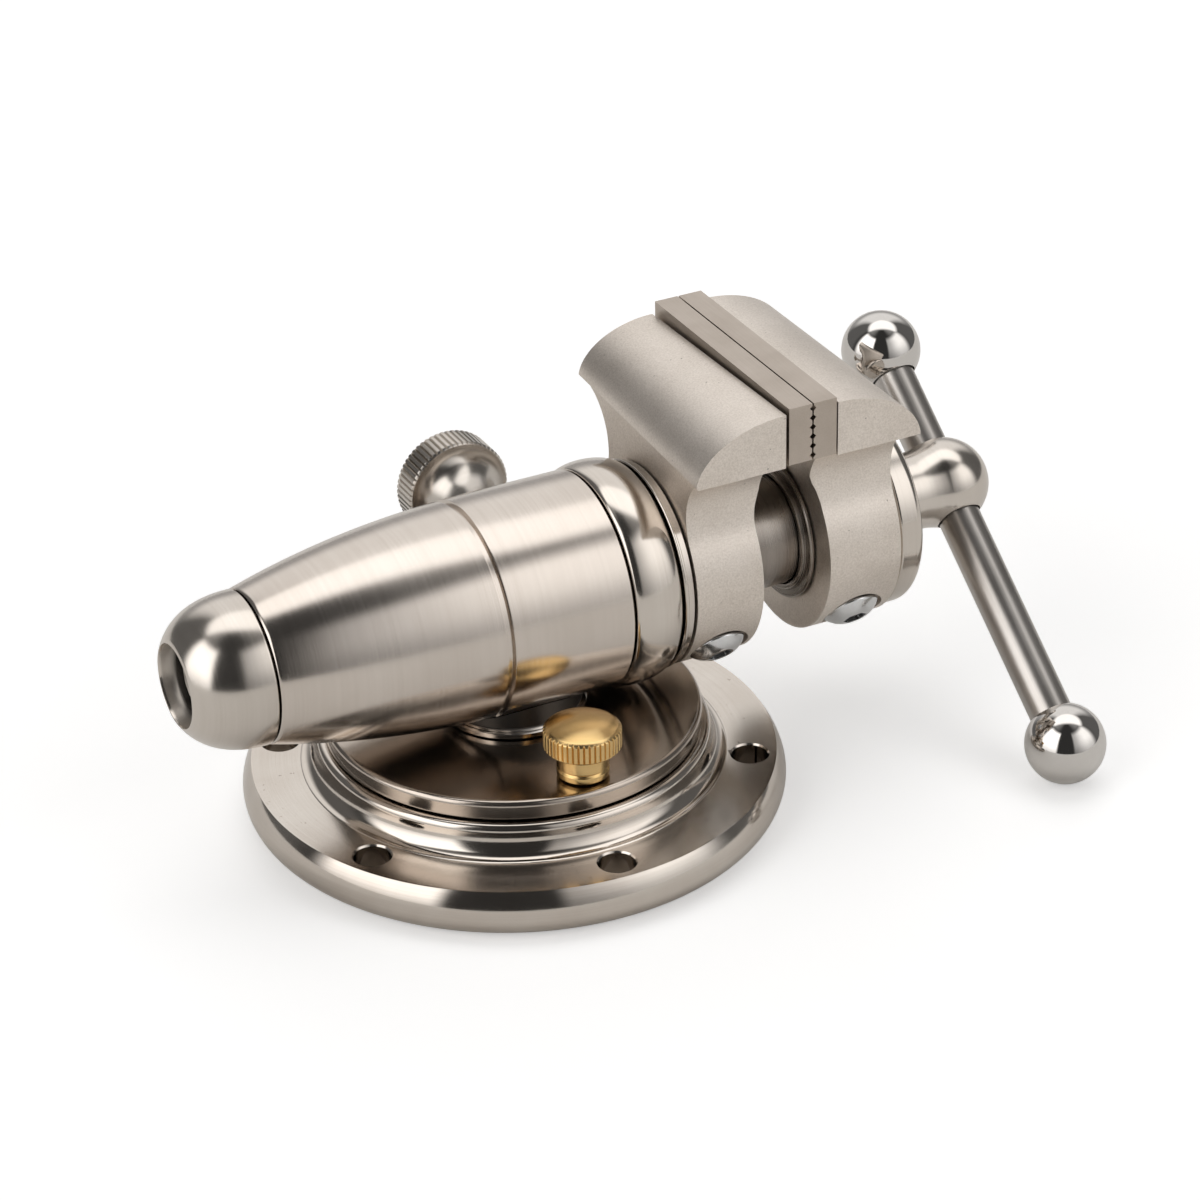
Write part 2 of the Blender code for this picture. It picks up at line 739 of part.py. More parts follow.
def make_barrel():
    """The casting that holds the turning head, tapering to its rear end."""
    outline = [(barrel_front_x, bush_bore_radius), (barrel_front_x, barrel_radius - edge_chamfer)]
    outline.append((barrel_front_x - edge_chamfer, barrel_radius))
    outline.append((barrel_taper_x, barrel_radius))
    groove_front = barrel_groove_x + barrel_groove_width / 2
    groove_rear = barrel_groove_x - barrel_groove_width / 2
    groove_radius = barrel_outline_radius(barrel_groove_x) - barrel_groove_depth
    outline.append((groove_front, barrel_outline_radius(groove_front)))
    outline.append((groove_front - barrel_groove_depth / 2, groove_radius))
    outline.append((groove_rear + barrel_groove_depth / 2, groove_radius))
    outline.append((groove_rear, barrel_outline_radius(groove_rear)))
    taper_steps = 5
    for step in range(1, taper_steps + 1):
        station = groove_rear + (barrel_rear_x - groove_rear) * step / taper_steps
        outline.append((station, barrel_outline_radius(station)))
    outline += [
        (barrel_rear_x, tail_bore_radius),
        (sleeve_bore_end_x, sleeve_bore_radius - 2 * fit_gap),
        (sleeve_bore_end_x, sleeve_bore_radius),
        (bush_bore_end_x, sleeve_bore_radius),
        (bush_bore_end_x, bush_bore_radius),
    ]
    barrel = new_piece("barrel", turned(outline, X_AXIS, wide_steps), barrel_group, barrel_metal)
    holes = bmesh.new()
    clear = head_lock_neck_radius + fit_gap
    turned(rod(sleeve_radius, barrel_radius + overrun, clear), Y_AXIS, small_steps, X_AXIS * head_lock_x, holes)
    for side in (-1, 1):
        floor_z = -bush_bore_radius - fit_gap
        flare_low_z = floor_z - (saddle_screw_head_radius - saddle_screw_radius) - fit_gap
        hole = [
            (-barrel_radius - overrun, 0),
            (-barrel_radius - overrun, saddle_screw_radius + fit_gap),
            (flare_low_z, saddle_screw_radius + fit_gap),
            (floor_z, saddle_screw_head_radius + fit_gap),
            (-sleeve_radius, saddle_screw_head_radius + fit_gap),
            (-sleeve_radius, 0),
        ]
        turned(hole, Z_AXIS, small_steps, X_AXIS * side * saddle_screw_offset, holes)
    cutter("barrel_holes", holes, barrel)


def dome_share(share):
    """Height of a full dome at a share of its reach, from 1 down to 0."""
    fullness_share = 2.4
    return (1 - share ** fullness_share) ** (1 / fullness_share)


def make_nose_cap():
    """The domed cap at the barrel's rear, whose mouth the lead screw may run through."""
    spigot_radius = tail_bore_radius - fit_gap
    dome_reach = nose_length / dome_share(nose_lip_radius / barrel_rear_radius)
    outline = [
        (nose_front_x + nose_spigot_length, spigot_radius - nose_spigot_wall),
        (nose_front_x + nose_spigot_length, spigot_radius),
        (nose_front_x, spigot_radius),
        (nose_front_x, barrel_rear_radius - edge_chamfer),
    ]
    dome_steps = 7
    for step in range(dome_steps + 1):
        along = edge_chamfer + (nose_length - edge_chamfer) * step / dome_steps
        outline.append((nose_front_x - along, barrel_rear_radius * dome_share(along / dome_reach)))
    outline += [
        (nose_mouth_x + nose_countersink_depth, nose_bore_radius),
        (nose_front_x, nose_bore_radius),
    ]
    new_piece("nose_cap", turned(outline, X_AXIS, round_steps), barrel_group, polished_metal)


def make_front_bearing():
    """The bead collar and the bronze bush that carry the turning sleeve."""
    rear = barrel_front_x + fit_gap
    middle = (rear + bead_front_x) / 2
    half = (bead_front_x - rear) / 2
    outline = [(rear, bush_bore_radius), (rear, bead_seat_radius - edge_chamfer)]
    bulge = bead_bulge_radius - bead_seat_radius
    bulge_steps = 7
    for step in range(bulge_steps + 1):
        angle = math.pi * (1 - step / bulge_steps)
        lean = (bead_seat_radius - bead_front_radius) * step / bulge_steps
        outline.append((middle + half * math.cos(angle), bead_seat_radius - lean + bulge * math.sin(angle)))
    outline.append((bead_front_x, bush_bore_radius))
    new_piece("bead_collar", turned(outline, X_AXIS, wide_steps), barrel_group, polished_metal)
    bush = tube(bush_rear_x, bead_front_x, bush_bore_radius - fit_gap, sleeve_radius + fit_gap)
    bush_piece = new_piece("head_bush", turned(bush), barrel_group, bronze_metal)
    hole = rod(0, barrel_radius, head_lock_stud_radius + 2 * fit_gap)
    cutter("head_bush_hole", turned(hole, Y_AXIS, small_steps, X_AXIS * head_lock_x), bush_piece)


def make_head_bearing():
    """The sleeve that turns with the jaws, its lock ring and the collar behind the rear jaw."""
    sleeve = tube(sleeve_rear_x, sleeve_front_x, sleeve_radius, bore_gap_radius, edge_chamfer)
    sleeve_piece = new_piece("head_sleeve", turned(sleeve), head, steel_metal)
    slot = bmesh.new()
    half_width = key_width / 2 + fit_gap
    box(
        (key_rear_x - fit_gap, -half_width, -sleeve_radius - overrun),
        (key_front_x + fit_gap, half_width, -tube_bore_radius),
        slot,
    )
    cutter("head_sleeve_keyway", slot, sleeve_piece)
    ring = tube(lock_ring_rear_x, lock_ring_front_x, bush_bore_radius - fit_gap, sleeve_radius + fit_gap)
    new_piece("sleeve_lock_ring", turned(ring), head, steel_metal)
    groove_x = head_collar_rear_x + head_collar_lip_width
    collar = [
        (head_collar_rear_x, sleeve_radius + fit_gap),
        (head_collar_rear_x, head_collar_radius),
        (groove_x, head_collar_radius),
        (groove_x, head_collar_radius - head_collar_groove_depth),
        (head_collar_front_x - edge_chamfer, head_collar_radius - head_collar_groove_depth),
        (head_collar_front_x, head_collar_radius - head_collar_groove_depth - edge_chamfer),
        (head_collar_front_x, sleeve_radius + fit_gap),
    ]
    new_piece("head_collar", turned(collar, X_AXIS, wide_steps), head, polished_metal)


def box(low, high, bm=None):
    """A box between two opposite corners."""
    bm = bm or bmesh.new()
    made = bmesh.ops.create_cube(bm, size=1)["verts"]
    size = Vector(high) - Vector(low)
    middle = (Vector(high) + Vector(low)) / 2
    bmesh.ops.transform(bm, matrix=Matrix.Translation(middle) @ Matrix.Diagonal((*size, 1)), verts=made)
    return bm


def jaw_front_outline():
    """Ring, waisted neck and block of a jaw, seen along the barrel's axis."""
    reach = jaw_ring_radius + jaw_flare_radius
    centre_rise = jaw_block_bottom_rise - jaw_flare_radius
    centre_side = math.sqrt(reach ** 2 - centre_rise ** 2)
    touch = math.degrees(math.atan2(centre_rise, centre_side))
    end = math.degrees(math.acos((centre_side - jaw_half_width) / jaw_flare_radius))
    flare_start = half_turn_angle + touch
    flare_end = half_turn_angle - end
    right = arc((0, 0), jaw_ring_radius, -quarter_turn_angle, touch, 11)
    right += arc((centre_side, centre_rise), jaw_flare_radius, flare_start, flare_end, 5)[1:]
    right.append((jaw_half_width, jaw_plate_top_rise))
    left = [(-side, rise) for side, rise in reversed(right[1:])]
    return right + left


def jaw_side_outline(block_x, block_length, ring_far_x, relief_depth, facing):
    """Ring, neck and block of a jaw, seen from its side; facing is 1 for a face towards +X."""
    low = -jaw_ring_radius - overrun
    bottom = jaw_block_bottom_rise
    slot_low = bottom - jaw_relief_height
    away_angle = half_turn_angle if facing > 0 else 0
    face_angle = half_turn_angle - away_angle
    corner = (block_x - facing * jaw_relief_corner, slot_low - jaw_relief_corner)
    crown_centre = (block_x, bottom - jaw_crown_drop)
    crown_height = jaw_block_height + jaw_crown_drop
    tip_angle = math.degrees(math.asin((jaw_crown_drop + jaw_tip_height) / crown_height))
    tip_x = block_x - facing * block_length
    outline = [(ring_far_x, low), (block_x, low)]
    outline += arc(corner, jaw_relief_corner, face_angle, quarter_turn_angle, 3)
    outline += [
        (block_x - facing * relief_depth, slot_low),
        (block_x - facing * relief_depth, bottom),
        (block_x, bottom),
    ]
    end_angle = away_angle - facing * tip_angle
    outline += arc(crown_centre, block_length, quarter_turn_angle, end_angle, 9, crown_height)
    foot_x = tip_x + facing * jaw_tip_height
    if facing * (ring_far_x - foot_x) > 0:
        outline.append((foot_x, bottom))
    outline.append((ring_far_x, bottom))
    return outline


def make_jaw(name, block_x, block, ring_near_x, ring_far_x, relief_depth, facing, group, bore_radius, bore_end_x):
    """A jaw casting: the outline from the side, kept only inside the outline from the front.

    The block is its length, and the shares of its length and height that are left at its far end.
    """
    block_length, far_length_share, far_height_share = block
    body = prism(
        jaw_side_outline(block_x, block_length, ring_far_x, relief_depth, facing),
        -jaw_half_width,
        jaw_half_width,
        side_view,
    )
    bottom = jaw_block_bottom_rise
    for corner in body.verts:
        if corner.co.y > 0 and corner.co.z > bottom + fit_gap:
            corner.co.x = block_x + (corner.co.x - block_x) * far_length_share
            corner.co.z = bottom + (corner.co.z - bottom) * far_height_share
        elif corner.co.y > 0 and abs(corner.co.x - block_x) > abs(ring_far_x - block_x) + fit_gap:
            corner.co.x = block_x + (corner.co.x - block_x) * far_length_share
    jaw = new_piece(name, body, group, jaw_metal)
    tip_x = block_x - facing * block_length
    low_x = min(tip_x, ring_far_x, block_x) - overrun
    high_x = max(tip_x, ring_far_x, block_x) + overrun
    cutter(name + "_outline", prism(jaw_front_outline(), low_x, high_x, front_view), jaw, "INTERSECT")
    step = [
        (ring_far_x - facing * overrun, 0),
        (ring_far_x - facing * overrun, bore_radius),
        (bore_end_x, bore_radius),
        (bore_end_x, bore_gap_radius),
        (ring_near_x, bore_gap_radius),
        (ring_near_x, jaw_ring_radius + fit_gap),
        (block_x + facing * overrun, jaw_ring_radius + fit_gap),
        (block_x + facing * overrun, 0),
    ]
    cutter(name + "_bore", turned(step, X_AXIS, wide_steps), jaw)
    screws = bmesh.new()
    for side in (-1, 1):
        centre = Vector((block_x, side * plate_screw_spacing / 2, plate_middle_rise))
        hole_end = -facing * (plate_screw_length - jaw_plate_thickness)
        turned(rod(hole_end, facing * overrun, plate_screw_radius + fit_gap), X_AXIS, small_steps, centre, screws)
    cutter(name + "_plate_holes", screws, jaw)
    return jaw


def make_jaw_plate(name, face_x, facing, group):
    """A hard plate with level V grooves in its face, held by two countersunk screws."""
    back_x = face_x - facing * jaw_plate_thickness
    pitch = jaw_plate_height / plate_groove_count
    outline = [(back_x, jaw_plate_bottom_rise), (face_x, jaw_plate_bottom_rise)]
    for index in range(plate_groove_count):
        middle = jaw_plate_bottom_rise + pitch * (index + 0.5)
        outline += [
            (face_x, middle - plate_groove_depth),
            (face_x - facing * plate_groove_depth, middle),
            (face_x, middle + plate_groove_depth),
        ]
    outline += [(face_x, jaw_plate_top_rise), (back_x, jaw_plate_top_rise)]
    plate = new_piece(name, prism(outline, -jaw_half_width, jaw_half_width, side_view), group, plate_metal)
    holes = bmesh.new()
    head_face_x = -facing * 2 * plate_groove_depth
    cone = plate_screw_head_radius - plate_screw_radius
    for side_name, side in (("near", -1), ("far", 1)):
        centre = Vector((face_x, side * plate_screw_spacing / 2, plate_middle_rise))
        hole = [
            (-facing * (jaw_plate_thickness + overrun), 0),
            (-facing * (jaw_plate_thickness + overrun), plate_screw_radius + fit_gap),
            (head_face_x - facing * cone, plate_screw_radius + fit_gap),
            (head_face_x, plate_screw_head_radius + fit_gap),
            (facing * overrun, plate_screw_head_radius + fit_gap),
            (facing * overrun, 0),
        ]
        turned(hole, X_AXIS, small_steps, centre, holes)
        screw = [
            (-facing * plate_screw_length, 0),
            (-facing * plate_screw_length, plate_screw_radius),
            (head_face_x - facing * cone, plate_screw_radius),
            (head_face_x, plate_screw_head_radius),
            (head_face_x, plate_screw_radius / 2),
            (head_face_x - facing * cone / 2, plate_screw_radius / 2),
            (head_face_x - facing * cone / 2, 0),
        ]
        turned_screw = turned(screw, X_AXIS, small_steps, centre)
        new_piece(f"{name}_screw_{side_name}", turned_screw, group, screw_metal)
    cutter(name + "_holes", holes, plate)


def make_screw_seat(jaw, middle_x, depth):
    """The flat seat and the radial hole for a button-head screw in a jaw's ring."""
    hole = [
        (ring_screw_seat - depth - fit_gap, 0),
        (ring_screw_seat - depth - fit_gap, ring_screw_radius + fit_gap),
        (ring_screw_seat, ring_screw_radius + fit_gap),
        (ring_screw_seat, ring_screw_head_radius + 2 * fit_gap),
        (ring_screw_seat + overrun, ring_screw_head_radius + 2 * fit_gap),
        (ring_screw_seat + overrun, 0),
    ]
    cutter(jaw.name + "_screw_seat", turned(hole, ring_screw_direction, rod_steps, X_AXIS * middle_x), jaw)


def make_ring_screw(name, middle_x, group, depth):
    """A button-head screw: shank, domed head and hexagonal socket."""
    bottom = ring_screw_seat + fit_gap
    top = bottom + ring_screw_head_height
    rim = bottom + ring_screw_head_height / 6
    shank_end = ring_screw_seat - depth
    screw = [(shank_end, 0), (shank_end, ring_screw_radius), (bottom, ring_screw_radius)]
    screw.append((bottom, ring_screw_head_radius))
    flat_radius = ring_screw_socket_radius + ring_screw_radius / 4
    dome_steps = 4
    for step in range(dome_steps + 1):
        angle = math.pi / 2 * step / dome_steps
        radius = flat_radius + (ring_screw_head_radius - flat_radius) * math.cos(angle)
        screw.append((rim + (top - rim) * math.sin(angle), radius))
    screw.append((top, 0))
    centre = X_AXIS * middle_x
    piece = new_piece(name, turned(screw, ring_screw_direction, rod_steps, centre), group, screw_metal)
    socket = rod(top - ring_screw_socket_depth, top + overrun, ring_screw_socket_radius)
    cutter(name + "_socket", turned(socket, ring_screw_direction, hex_sides, centre), piece)


def make_jaws():
    """Both jaws with their plates and screws."""
    rear = make_jaw(
        "rear_jaw",
        rear_block_x,
        (rear_block_length, rear_far_length_share, rear_far_height_share),
        rear_ring_front_x,
        rear_ring_rear_x,
        rear_relief_depth,
        1,
        head,
        sleeve_radius + fit_gap,
        sleeve_front_x + fit_gap,
    )
    make_jaw_plate("rear_jaw_plate", jaw_seam_x - half_gap, 1, head)
    front = make_jaw(
        "front_jaw",
        front_block_x,
        (front_block_length, front_far_length_share, front_far_height_share),
        front_ring_rear_x,
        front_ring_front_x,
        front_relief_depth,
        -1,
        front_slide,
        bore_gap_radius,
        tube_front_x,
    )
    make_jaw_plate("front_jaw_plate", jaw_seam_x + half_gap, -1, front_slide)
    rear_middle = (rear_ring_rear_x + rear_ring_front_x) / 2
    front_middle = (front_ring_rear_x + front_ring_front_x) / 2
    rear_depth = ring_screw_seat - sleeve_radius - 2 * fit_gap
    front_depth = ring_screw_seat - bore_gap_radius - 2 * fit_gap
    make_screw_seat(rear, rear_middle, rear_depth)
    make_ring_screw("rear_ring_screw", rear_middle, head, rear_depth)
    make_screw_seat(front, front_middle, front_depth)
    make_ring_screw("front_ring_screw", front_middle, front_slide, front_depth)


def make_slide():
    """The tube that carries the front jaw, its collar and the key that stops it turning."""
    outline = tube(tube_rear_x, tube_front_x, tube_radius, tube_bore_radius, edge_chamfer)
    slide = new_piece("slide_tube", turned(outline), front_slide, steel_metal)
    half_width = key_width / 2 + fit_gap
    slot = box(
        (tube_rear_x - overrun, -half_width, -tube_radius - overrun),
        (tube_collar_rear_x - overrun, half_width, -tube_radius + key_height / 2 + fit_gap),
    )
    cutter("slide_tube_keyway", slot, slide)
    collar = [
        (tube_collar_rear_x, bore_gap_radius),
        (tube_collar_rear_x, tube_collar_step_radius),
        (tube_collar_step_x, tube_collar_step_radius),
        (tube_collar_step_x, tube_collar_radius),
        (tube_collar_front_x, tube_collar_radius),
        (tube_collar_front_x, bore_gap_radius),
    ]
    new_piece("tube_collar", turned(collar), front_slide, steel_metal)
    key = box(
        (key_rear_x, -key_width / 2, -sleeve_radius + fit_gap),
        (key_front_x, key_width / 2, -tube_radius + key_height / 2),
    )
    new_piece("slide_key", key, head, steel_metal)


def make_screw_drive():
    """The lead screw, the nut that it turns in, and the washers that hold it in the front jaw."""
    collar_end = thrust_collar_x + thrust_collar_width
    journal_end = hub_rear_x - fit_gap
    tenon_end = hub_rear_x + fit_gap + screw_tenon_length
    screw = [
        (screw_rear_x, 0),
        (screw_rear_x, screw_radius - 2 * edge_chamfer),
        (screw_rear_x + 2 * edge_chamfer, screw_radius),
        (thrust_collar_x, screw_radius),
        (thrust_collar_x, thrust_collar_radius),
        (collar_end, thrust_collar_radius),
        (collar_end, hub_neck_radius),
        (journal_end, hub_neck_radius),
        (journal_end, screw_tenon_radius),
        (tenon_end, screw_tenon_radius),
        (tenon_end, 0),
    ]
    lead = new_piece("lead_screw", turned(screw, X_AXIS, rod_steps), spindle, steel_metal)
    pin_hole = rod(-cap_radius, cap_radius, hub_pin_radius + fit_gap)
    cutter("lead_screw_pin_hole", turned(pin_hole, Z_AXIS, small_steps, X_AXIS * hub_pin_x), lead)
    nut = tube(nut_rear_x, nut_front_x, tube_radius, screw_radius + fit_gap)
    new_piece("lead_nut", turned(nut), head, bronze_metal)
    ring = tube(nut_ring_rear_x, nut_ring_front_x, tube_radius, nut_ring_bore_radius)
    new_piece("nut_retaining_ring", turned(ring), head, steel_metal)
    washers = (
        ("inner_thrust_washer", inner_washer_x, screw_radius + fit_gap),
        ("outer_thrust_washer", outer_washer_x, hub_neck_radius + fit_gap),
    )
    for name, washer_x, bore in washers:
        washer = tube(washer_x, washer_x + thrust_washer_thickness, thrust_collar_radius, bore)
        new_piece(name, turned(washer), front_slide, bronze_metal)


def make_front_cap():
    """The cap that closes the front jaw's ring round the spindle."""
    outline = [
        (cap_rear_x, hub_neck_radius + fit_gap),
        (cap_rear_x, cap_radius - edge_chamfer),
        (cap_rear_x + edge_chamfer, cap_radius),
        (cap_chamfer_x, cap_radius),
        (cap_front_x - edge_chamfer, cap_front_radius + edge_chamfer),
        (cap_front_x, cap_front_radius - edge_chamfer),
        (cap_front_x, hub_neck_radius + fit_gap),
    ]
    new_piece("front_cap", turned(outline, X_AXIS, wide_steps), front_slide, polished_metal)


def make_hub():
    """The round hub of the spindle, with the hole for the handle bar, and its cross pin."""
    start_angle = half_turn_angle - math.degrees(math.asin(hub_neck_radius / hub_ball_radius))
    tenon_socket_radius = screw_tenon_radius + fit_gap
    tenon_socket_end = hub_rear_x + screw_tenon_length + 3 * fit_gap
    outline = [
        (tenon_socket_end, 0),
        (tenon_socket_end, tenon_socket_radius),
        (hub_rear_x, tenon_socket_radius),
        (hub_rear_x, hub_neck_radius - edge_chamfer),
        (hub_rear_x + edge_chamfer, hub_neck_radius),
    ]
    outline += arc((hub_ball_x, 0), hub_ball_radius, start_angle, 0, 8)[:-1]
    outline.append((hub_ball_x + hub_ball_radius, 0))
    hub = new_piece("spindle_hub", turned(outline), spindle, polished_metal)
    bar_hole = rod(-overrun - hub_ball_radius, hub_ball_radius + overrun, bar_radius + fit_gap)
    holes = turned(bar_hole, handle_direction, rod_steps, X_AXIS * hub_ball_x)
    pin_hole = rod(-cap_radius, cap_radius, hub_pin_radius + fit_gap)
    turned(pin_hole, Z_AXIS, small_steps, X_AXIS * hub_pin_x, holes)
    cutter("spindle_hub_holes", holes, hub)
    half = math.sqrt(hub_neck_radius ** 2 - hub_pin_radius ** 2) - fit_gap
    pin = turned(rod(-half, half, hub_pin_radius), Z_AXIS, small_steps, X_AXIS * hub_pin_x)
    new_piece("hub_pin", pin, spindle, steel_metal)


def make_handle():
    """The bar that slides in the hub, and the ball on each of its ends."""
    half = handle_centres / 2
    bar_end = half - handle_ball_radius + handle_ball_socket_depth
    bar = rod(handle_offset - bar_end, handle_offset + bar_end, bar_radius, edge_chamfer)
    new_piece("handle_bar", turned(bar, handle_direction, rod_steps), handle, polished_metal)
    ball_socket_radius = bar_radius + fit_gap
    end_angle = half_turn_angle - math.degrees(math.asin(ball_socket_radius / handle_ball_radius))
    for name, side in (("upper_handle_ball", -1), ("lower_handle_ball", 1)):
        middle = handle_offset + side * half
        floor = middle - side * (handle_ball_radius - handle_ball_socket_depth - fit_gap)
        ball = arc((middle, 0), side * handle_ball_radius, 0, end_angle, 9, handle_ball_radius)
        ball += [(floor, ball_socket_radius), (floor, 0)]
        new_piece(name, turned(ball, handle_direction, rod_steps), handle, polished_metal)


def make_head_lock():
    """The knurled steel knob that clamps the turning sleeve, and the pad under its stud."""
    pad_top = bush_bore_radius + fit_gap
    stud_low = pad_top + fit_gap
    outline = [
        (stud_low, 0),
        (stud_low, head_lock_stud_radius),
        (head_lock_foot, head_lock_stud_radius),
        (head_lock_foot, head_lock_neck_radius),
        (head_lock_neck_outer, head_lock_neck_radius),
    ]
    cone_steps = 3
    rim_edge = head_lock_rim_radius - 2 * knurl_depth
    for step in range(1, cone_steps + 1):
        share = step / cone_steps
        station = head_lock_neck_outer + head_lock_cone_length * share ** 0.6
        outline.append((station, head_lock_neck_radius + (rim_edge - head_lock_neck_radius) * share ** 1.6))
    outline += [
        (head_lock_rim_inner + edge_chamfer, head_lock_rim_radius),
        (head_lock_rim_outer - edge_chamfer, head_lock_rim_radius),
        (head_lock_rim_outer, rim_edge),
        (head_lock_rim_outer, 0),
    ]
    knob = turned(outline, Y_AXIS, head_lock_knurl_count * 2)
    knurled(knob, Y_AXIS, head_lock_rim_inner, head_lock_rim_outer, head_lock_rim_radius, head_lock_knurl_count)
    new_piece("head_lock_knob", knob, head_lock, polished_metal)
    pad = rod(sleeve_radius + fit_gap, pad_top, head_lock_stud_radius)
    new_piece("head_lock_pad", turned(pad, Y_AXIS, small_steps), head_lock, bronze_metal)


def make_swivel_lock():
    """The knurled brass knob that clamps the turntable, and the pad under its stud."""
    pad_bottom = clamp_groove_floor_z + 2 * fit_gap
    pad_top = pad_bottom + swivel_lock_pad_height
    neck = swivel_lock_neck_radius
    rim_edge = swivel_lock_head_radius - 2 * knurl_depth
    outline = [
        (pad_top + fit_gap, 0),
        (pad_top + fit_gap, swivel_lock_stud_radius),
        (swivel_lock_foot_z, swivel_lock_stud_radius),
        (swivel_lock_foot_z, neck),
        (swivel_lock_groove_z - swivel_lock_groove_depth, neck),
        (swivel_lock_groove_z, neck - swivel_lock_groove_depth),
        (swivel_lock_groove_z + swivel_lock_groove_depth, neck),
        (swivel_lock_head_bottom_z - edge_chamfer, neck),
        (swivel_lock_head_bottom_z, rim_edge),
        (swivel_lock_head_bottom_z + edge_chamfer, swivel_lock_head_radius),
        (swivel_lock_head_edge_z - edge_chamfer, swivel_lock_head_radius),
        (swivel_lock_head_edge_z, rim_edge),
    ]
    dome_steps = 3
    for step in range(1, dome_steps):
        share = step / dome_steps
        rise = swivel_lock_dome_height * math.sqrt(share)
        outline.append((swivel_lock_head_edge_z + rise, rim_edge * (1 - share ** 2)))
    outline.append((swivel_lock_head_top_z, 0))
    knob = turned(outline, Z_AXIS, swivel_lock_knurl_count * 2)
    low = swivel_lock_head_bottom_z
    high = swivel_lock_head_edge_z
    knurled(knob, Z_AXIS, low, high, swivel_lock_head_radius, swivel_lock_knurl_count)
    new_piece("swivel_lock_knob", knob, swivel_lock, brass_metal)
    pad = rod(pad_bottom, pad_top, swivel_lock_stud_radius)
    new_piece("swivel_lock_pad", turned(pad, Z_AXIS, small_steps), swivel_lock, bronze_metal)


make_base_flange()
make_pivot()
make_turntable()
make_saddle()
make_barrel()
make_nose_cap()
make_front_bearing()
make_head_bearing()
make_jaws()
make_slide()
make_screw_drive()
make_front_cap()
make_hub()
make_handle()
make_head_lock()
make_swivel_lock()
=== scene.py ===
import json
import math

import bpy
from mathutils import Matrix, Vector


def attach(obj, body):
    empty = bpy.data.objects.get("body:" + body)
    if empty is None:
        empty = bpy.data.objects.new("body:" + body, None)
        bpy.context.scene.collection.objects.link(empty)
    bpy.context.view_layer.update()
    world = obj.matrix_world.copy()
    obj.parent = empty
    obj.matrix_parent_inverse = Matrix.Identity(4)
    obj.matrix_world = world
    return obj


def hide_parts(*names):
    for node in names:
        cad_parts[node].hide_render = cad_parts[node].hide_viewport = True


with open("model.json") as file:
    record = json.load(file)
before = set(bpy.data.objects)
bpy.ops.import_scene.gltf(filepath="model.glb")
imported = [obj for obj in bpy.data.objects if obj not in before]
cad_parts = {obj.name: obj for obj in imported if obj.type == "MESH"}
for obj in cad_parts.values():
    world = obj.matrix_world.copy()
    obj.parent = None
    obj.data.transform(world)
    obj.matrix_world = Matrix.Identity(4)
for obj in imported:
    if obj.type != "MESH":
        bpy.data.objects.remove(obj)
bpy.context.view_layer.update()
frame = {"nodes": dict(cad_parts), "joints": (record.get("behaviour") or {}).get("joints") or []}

# Sizes are in metres, written in millimetres. The frame's +X runs along the barrel towards
# the jaws, +Z is up, and the swivel axis goes through the origin.
mm = 0.001
joints = {joint["name"]: joint for joint in frame["joints"]}
barrel_centre = Vector(joints["head_turn"]["pos_m"])
bar_axis = Vector(joints["bar_slide"]["axis"]).normalized()
swivel_lock_centre = Vector(joints["swivel_lock_turn"]["pos_m"])
head_lock_centre = Vector(joints["head_lock_turn"]["pos_m"])
X_AXIS = Vector((1, 0, 0))
Y_AXIS = Vector((0, 1, 0))
Z_AXIS = Vector((0, 0, 1))

# Fineness of the round pieces
wide_steps = 144
round_steps = 96
small_steps = 48
smooth_angle = math.radians(42)

# Camera, where the photograph was taken from
photo_width = 1200
focal_pixels = 4254.2
sensor_width = 36.0
camera_place = Vector((-0.28272, -0.59739, 0.41360))
camera_turn = 26.727
camera_elevation = 29.483
camera_roll = -1.079


def make_camera():
    """The camera, from the angles and the focal length that fit the photograph."""
    turn = math.radians(camera_turn)
    fall = math.radians(camera_elevation)
    roll = math.radians(camera_roll)
    look = Vector((math.sin(turn) * math.cos(fall), math.cos(turn) * math.cos(fall), -math.sin(fall)))
    level_right = Vector((math.cos(turn), -math.sin(turn), 0))
    level_up = level_right.cross(look)
    right = level_right * math.cos(roll) + level_up * math.sin(roll)
    up = right.cross(look)
    data = bpy.data.cameras.new("photo_camera")
    data.sensor_width = sensor_width
    data.lens = focal_pixels / photo_width * sensor_width
    data.clip_start = 10 * mm
    data.clip_end = 100.0
    camera = bpy.data.objects.new("photo_camera", data)
    bpy.context.scene.collection.objects.link(camera)
    turned_to = Matrix((right, up, -look)).transposed().to_4x4()
    camera.matrix_world = Matrix.Translation(camera_place) @ turned_to
    bpy.context.scene.camera = camera
    return camera


# Shader maths, written as Python


class Wire:
    """An output socket of a finish, whose sums and products become Math nodes."""

    def __init__(self, finish, socket):
        self.finish = finish
        self.socket = socket

    def __add__(self, other):
        return self.finish.maths("ADD", self, other)

    def __radd__(self, other):
        return self.finish.maths("ADD", other, self)

    def __sub__(self, other):
        return self.finish.maths("SUBTRACT", self, other)

    def __rsub__(self, other):
        return self.finish.maths("SUBTRACT", other, self)

    def __mul__(self, other):
        return self.finish.maths("MULTIPLY", self, other)

    def __rmul__(self, other):
        return self.finish.maths("MULTIPLY", other, self)

    def __truediv__(self, other):
        return self.finish.maths("DIVIDE", self, other)

    def __pow__(self, other):
        return self.finish.maths("POWER", self, other)


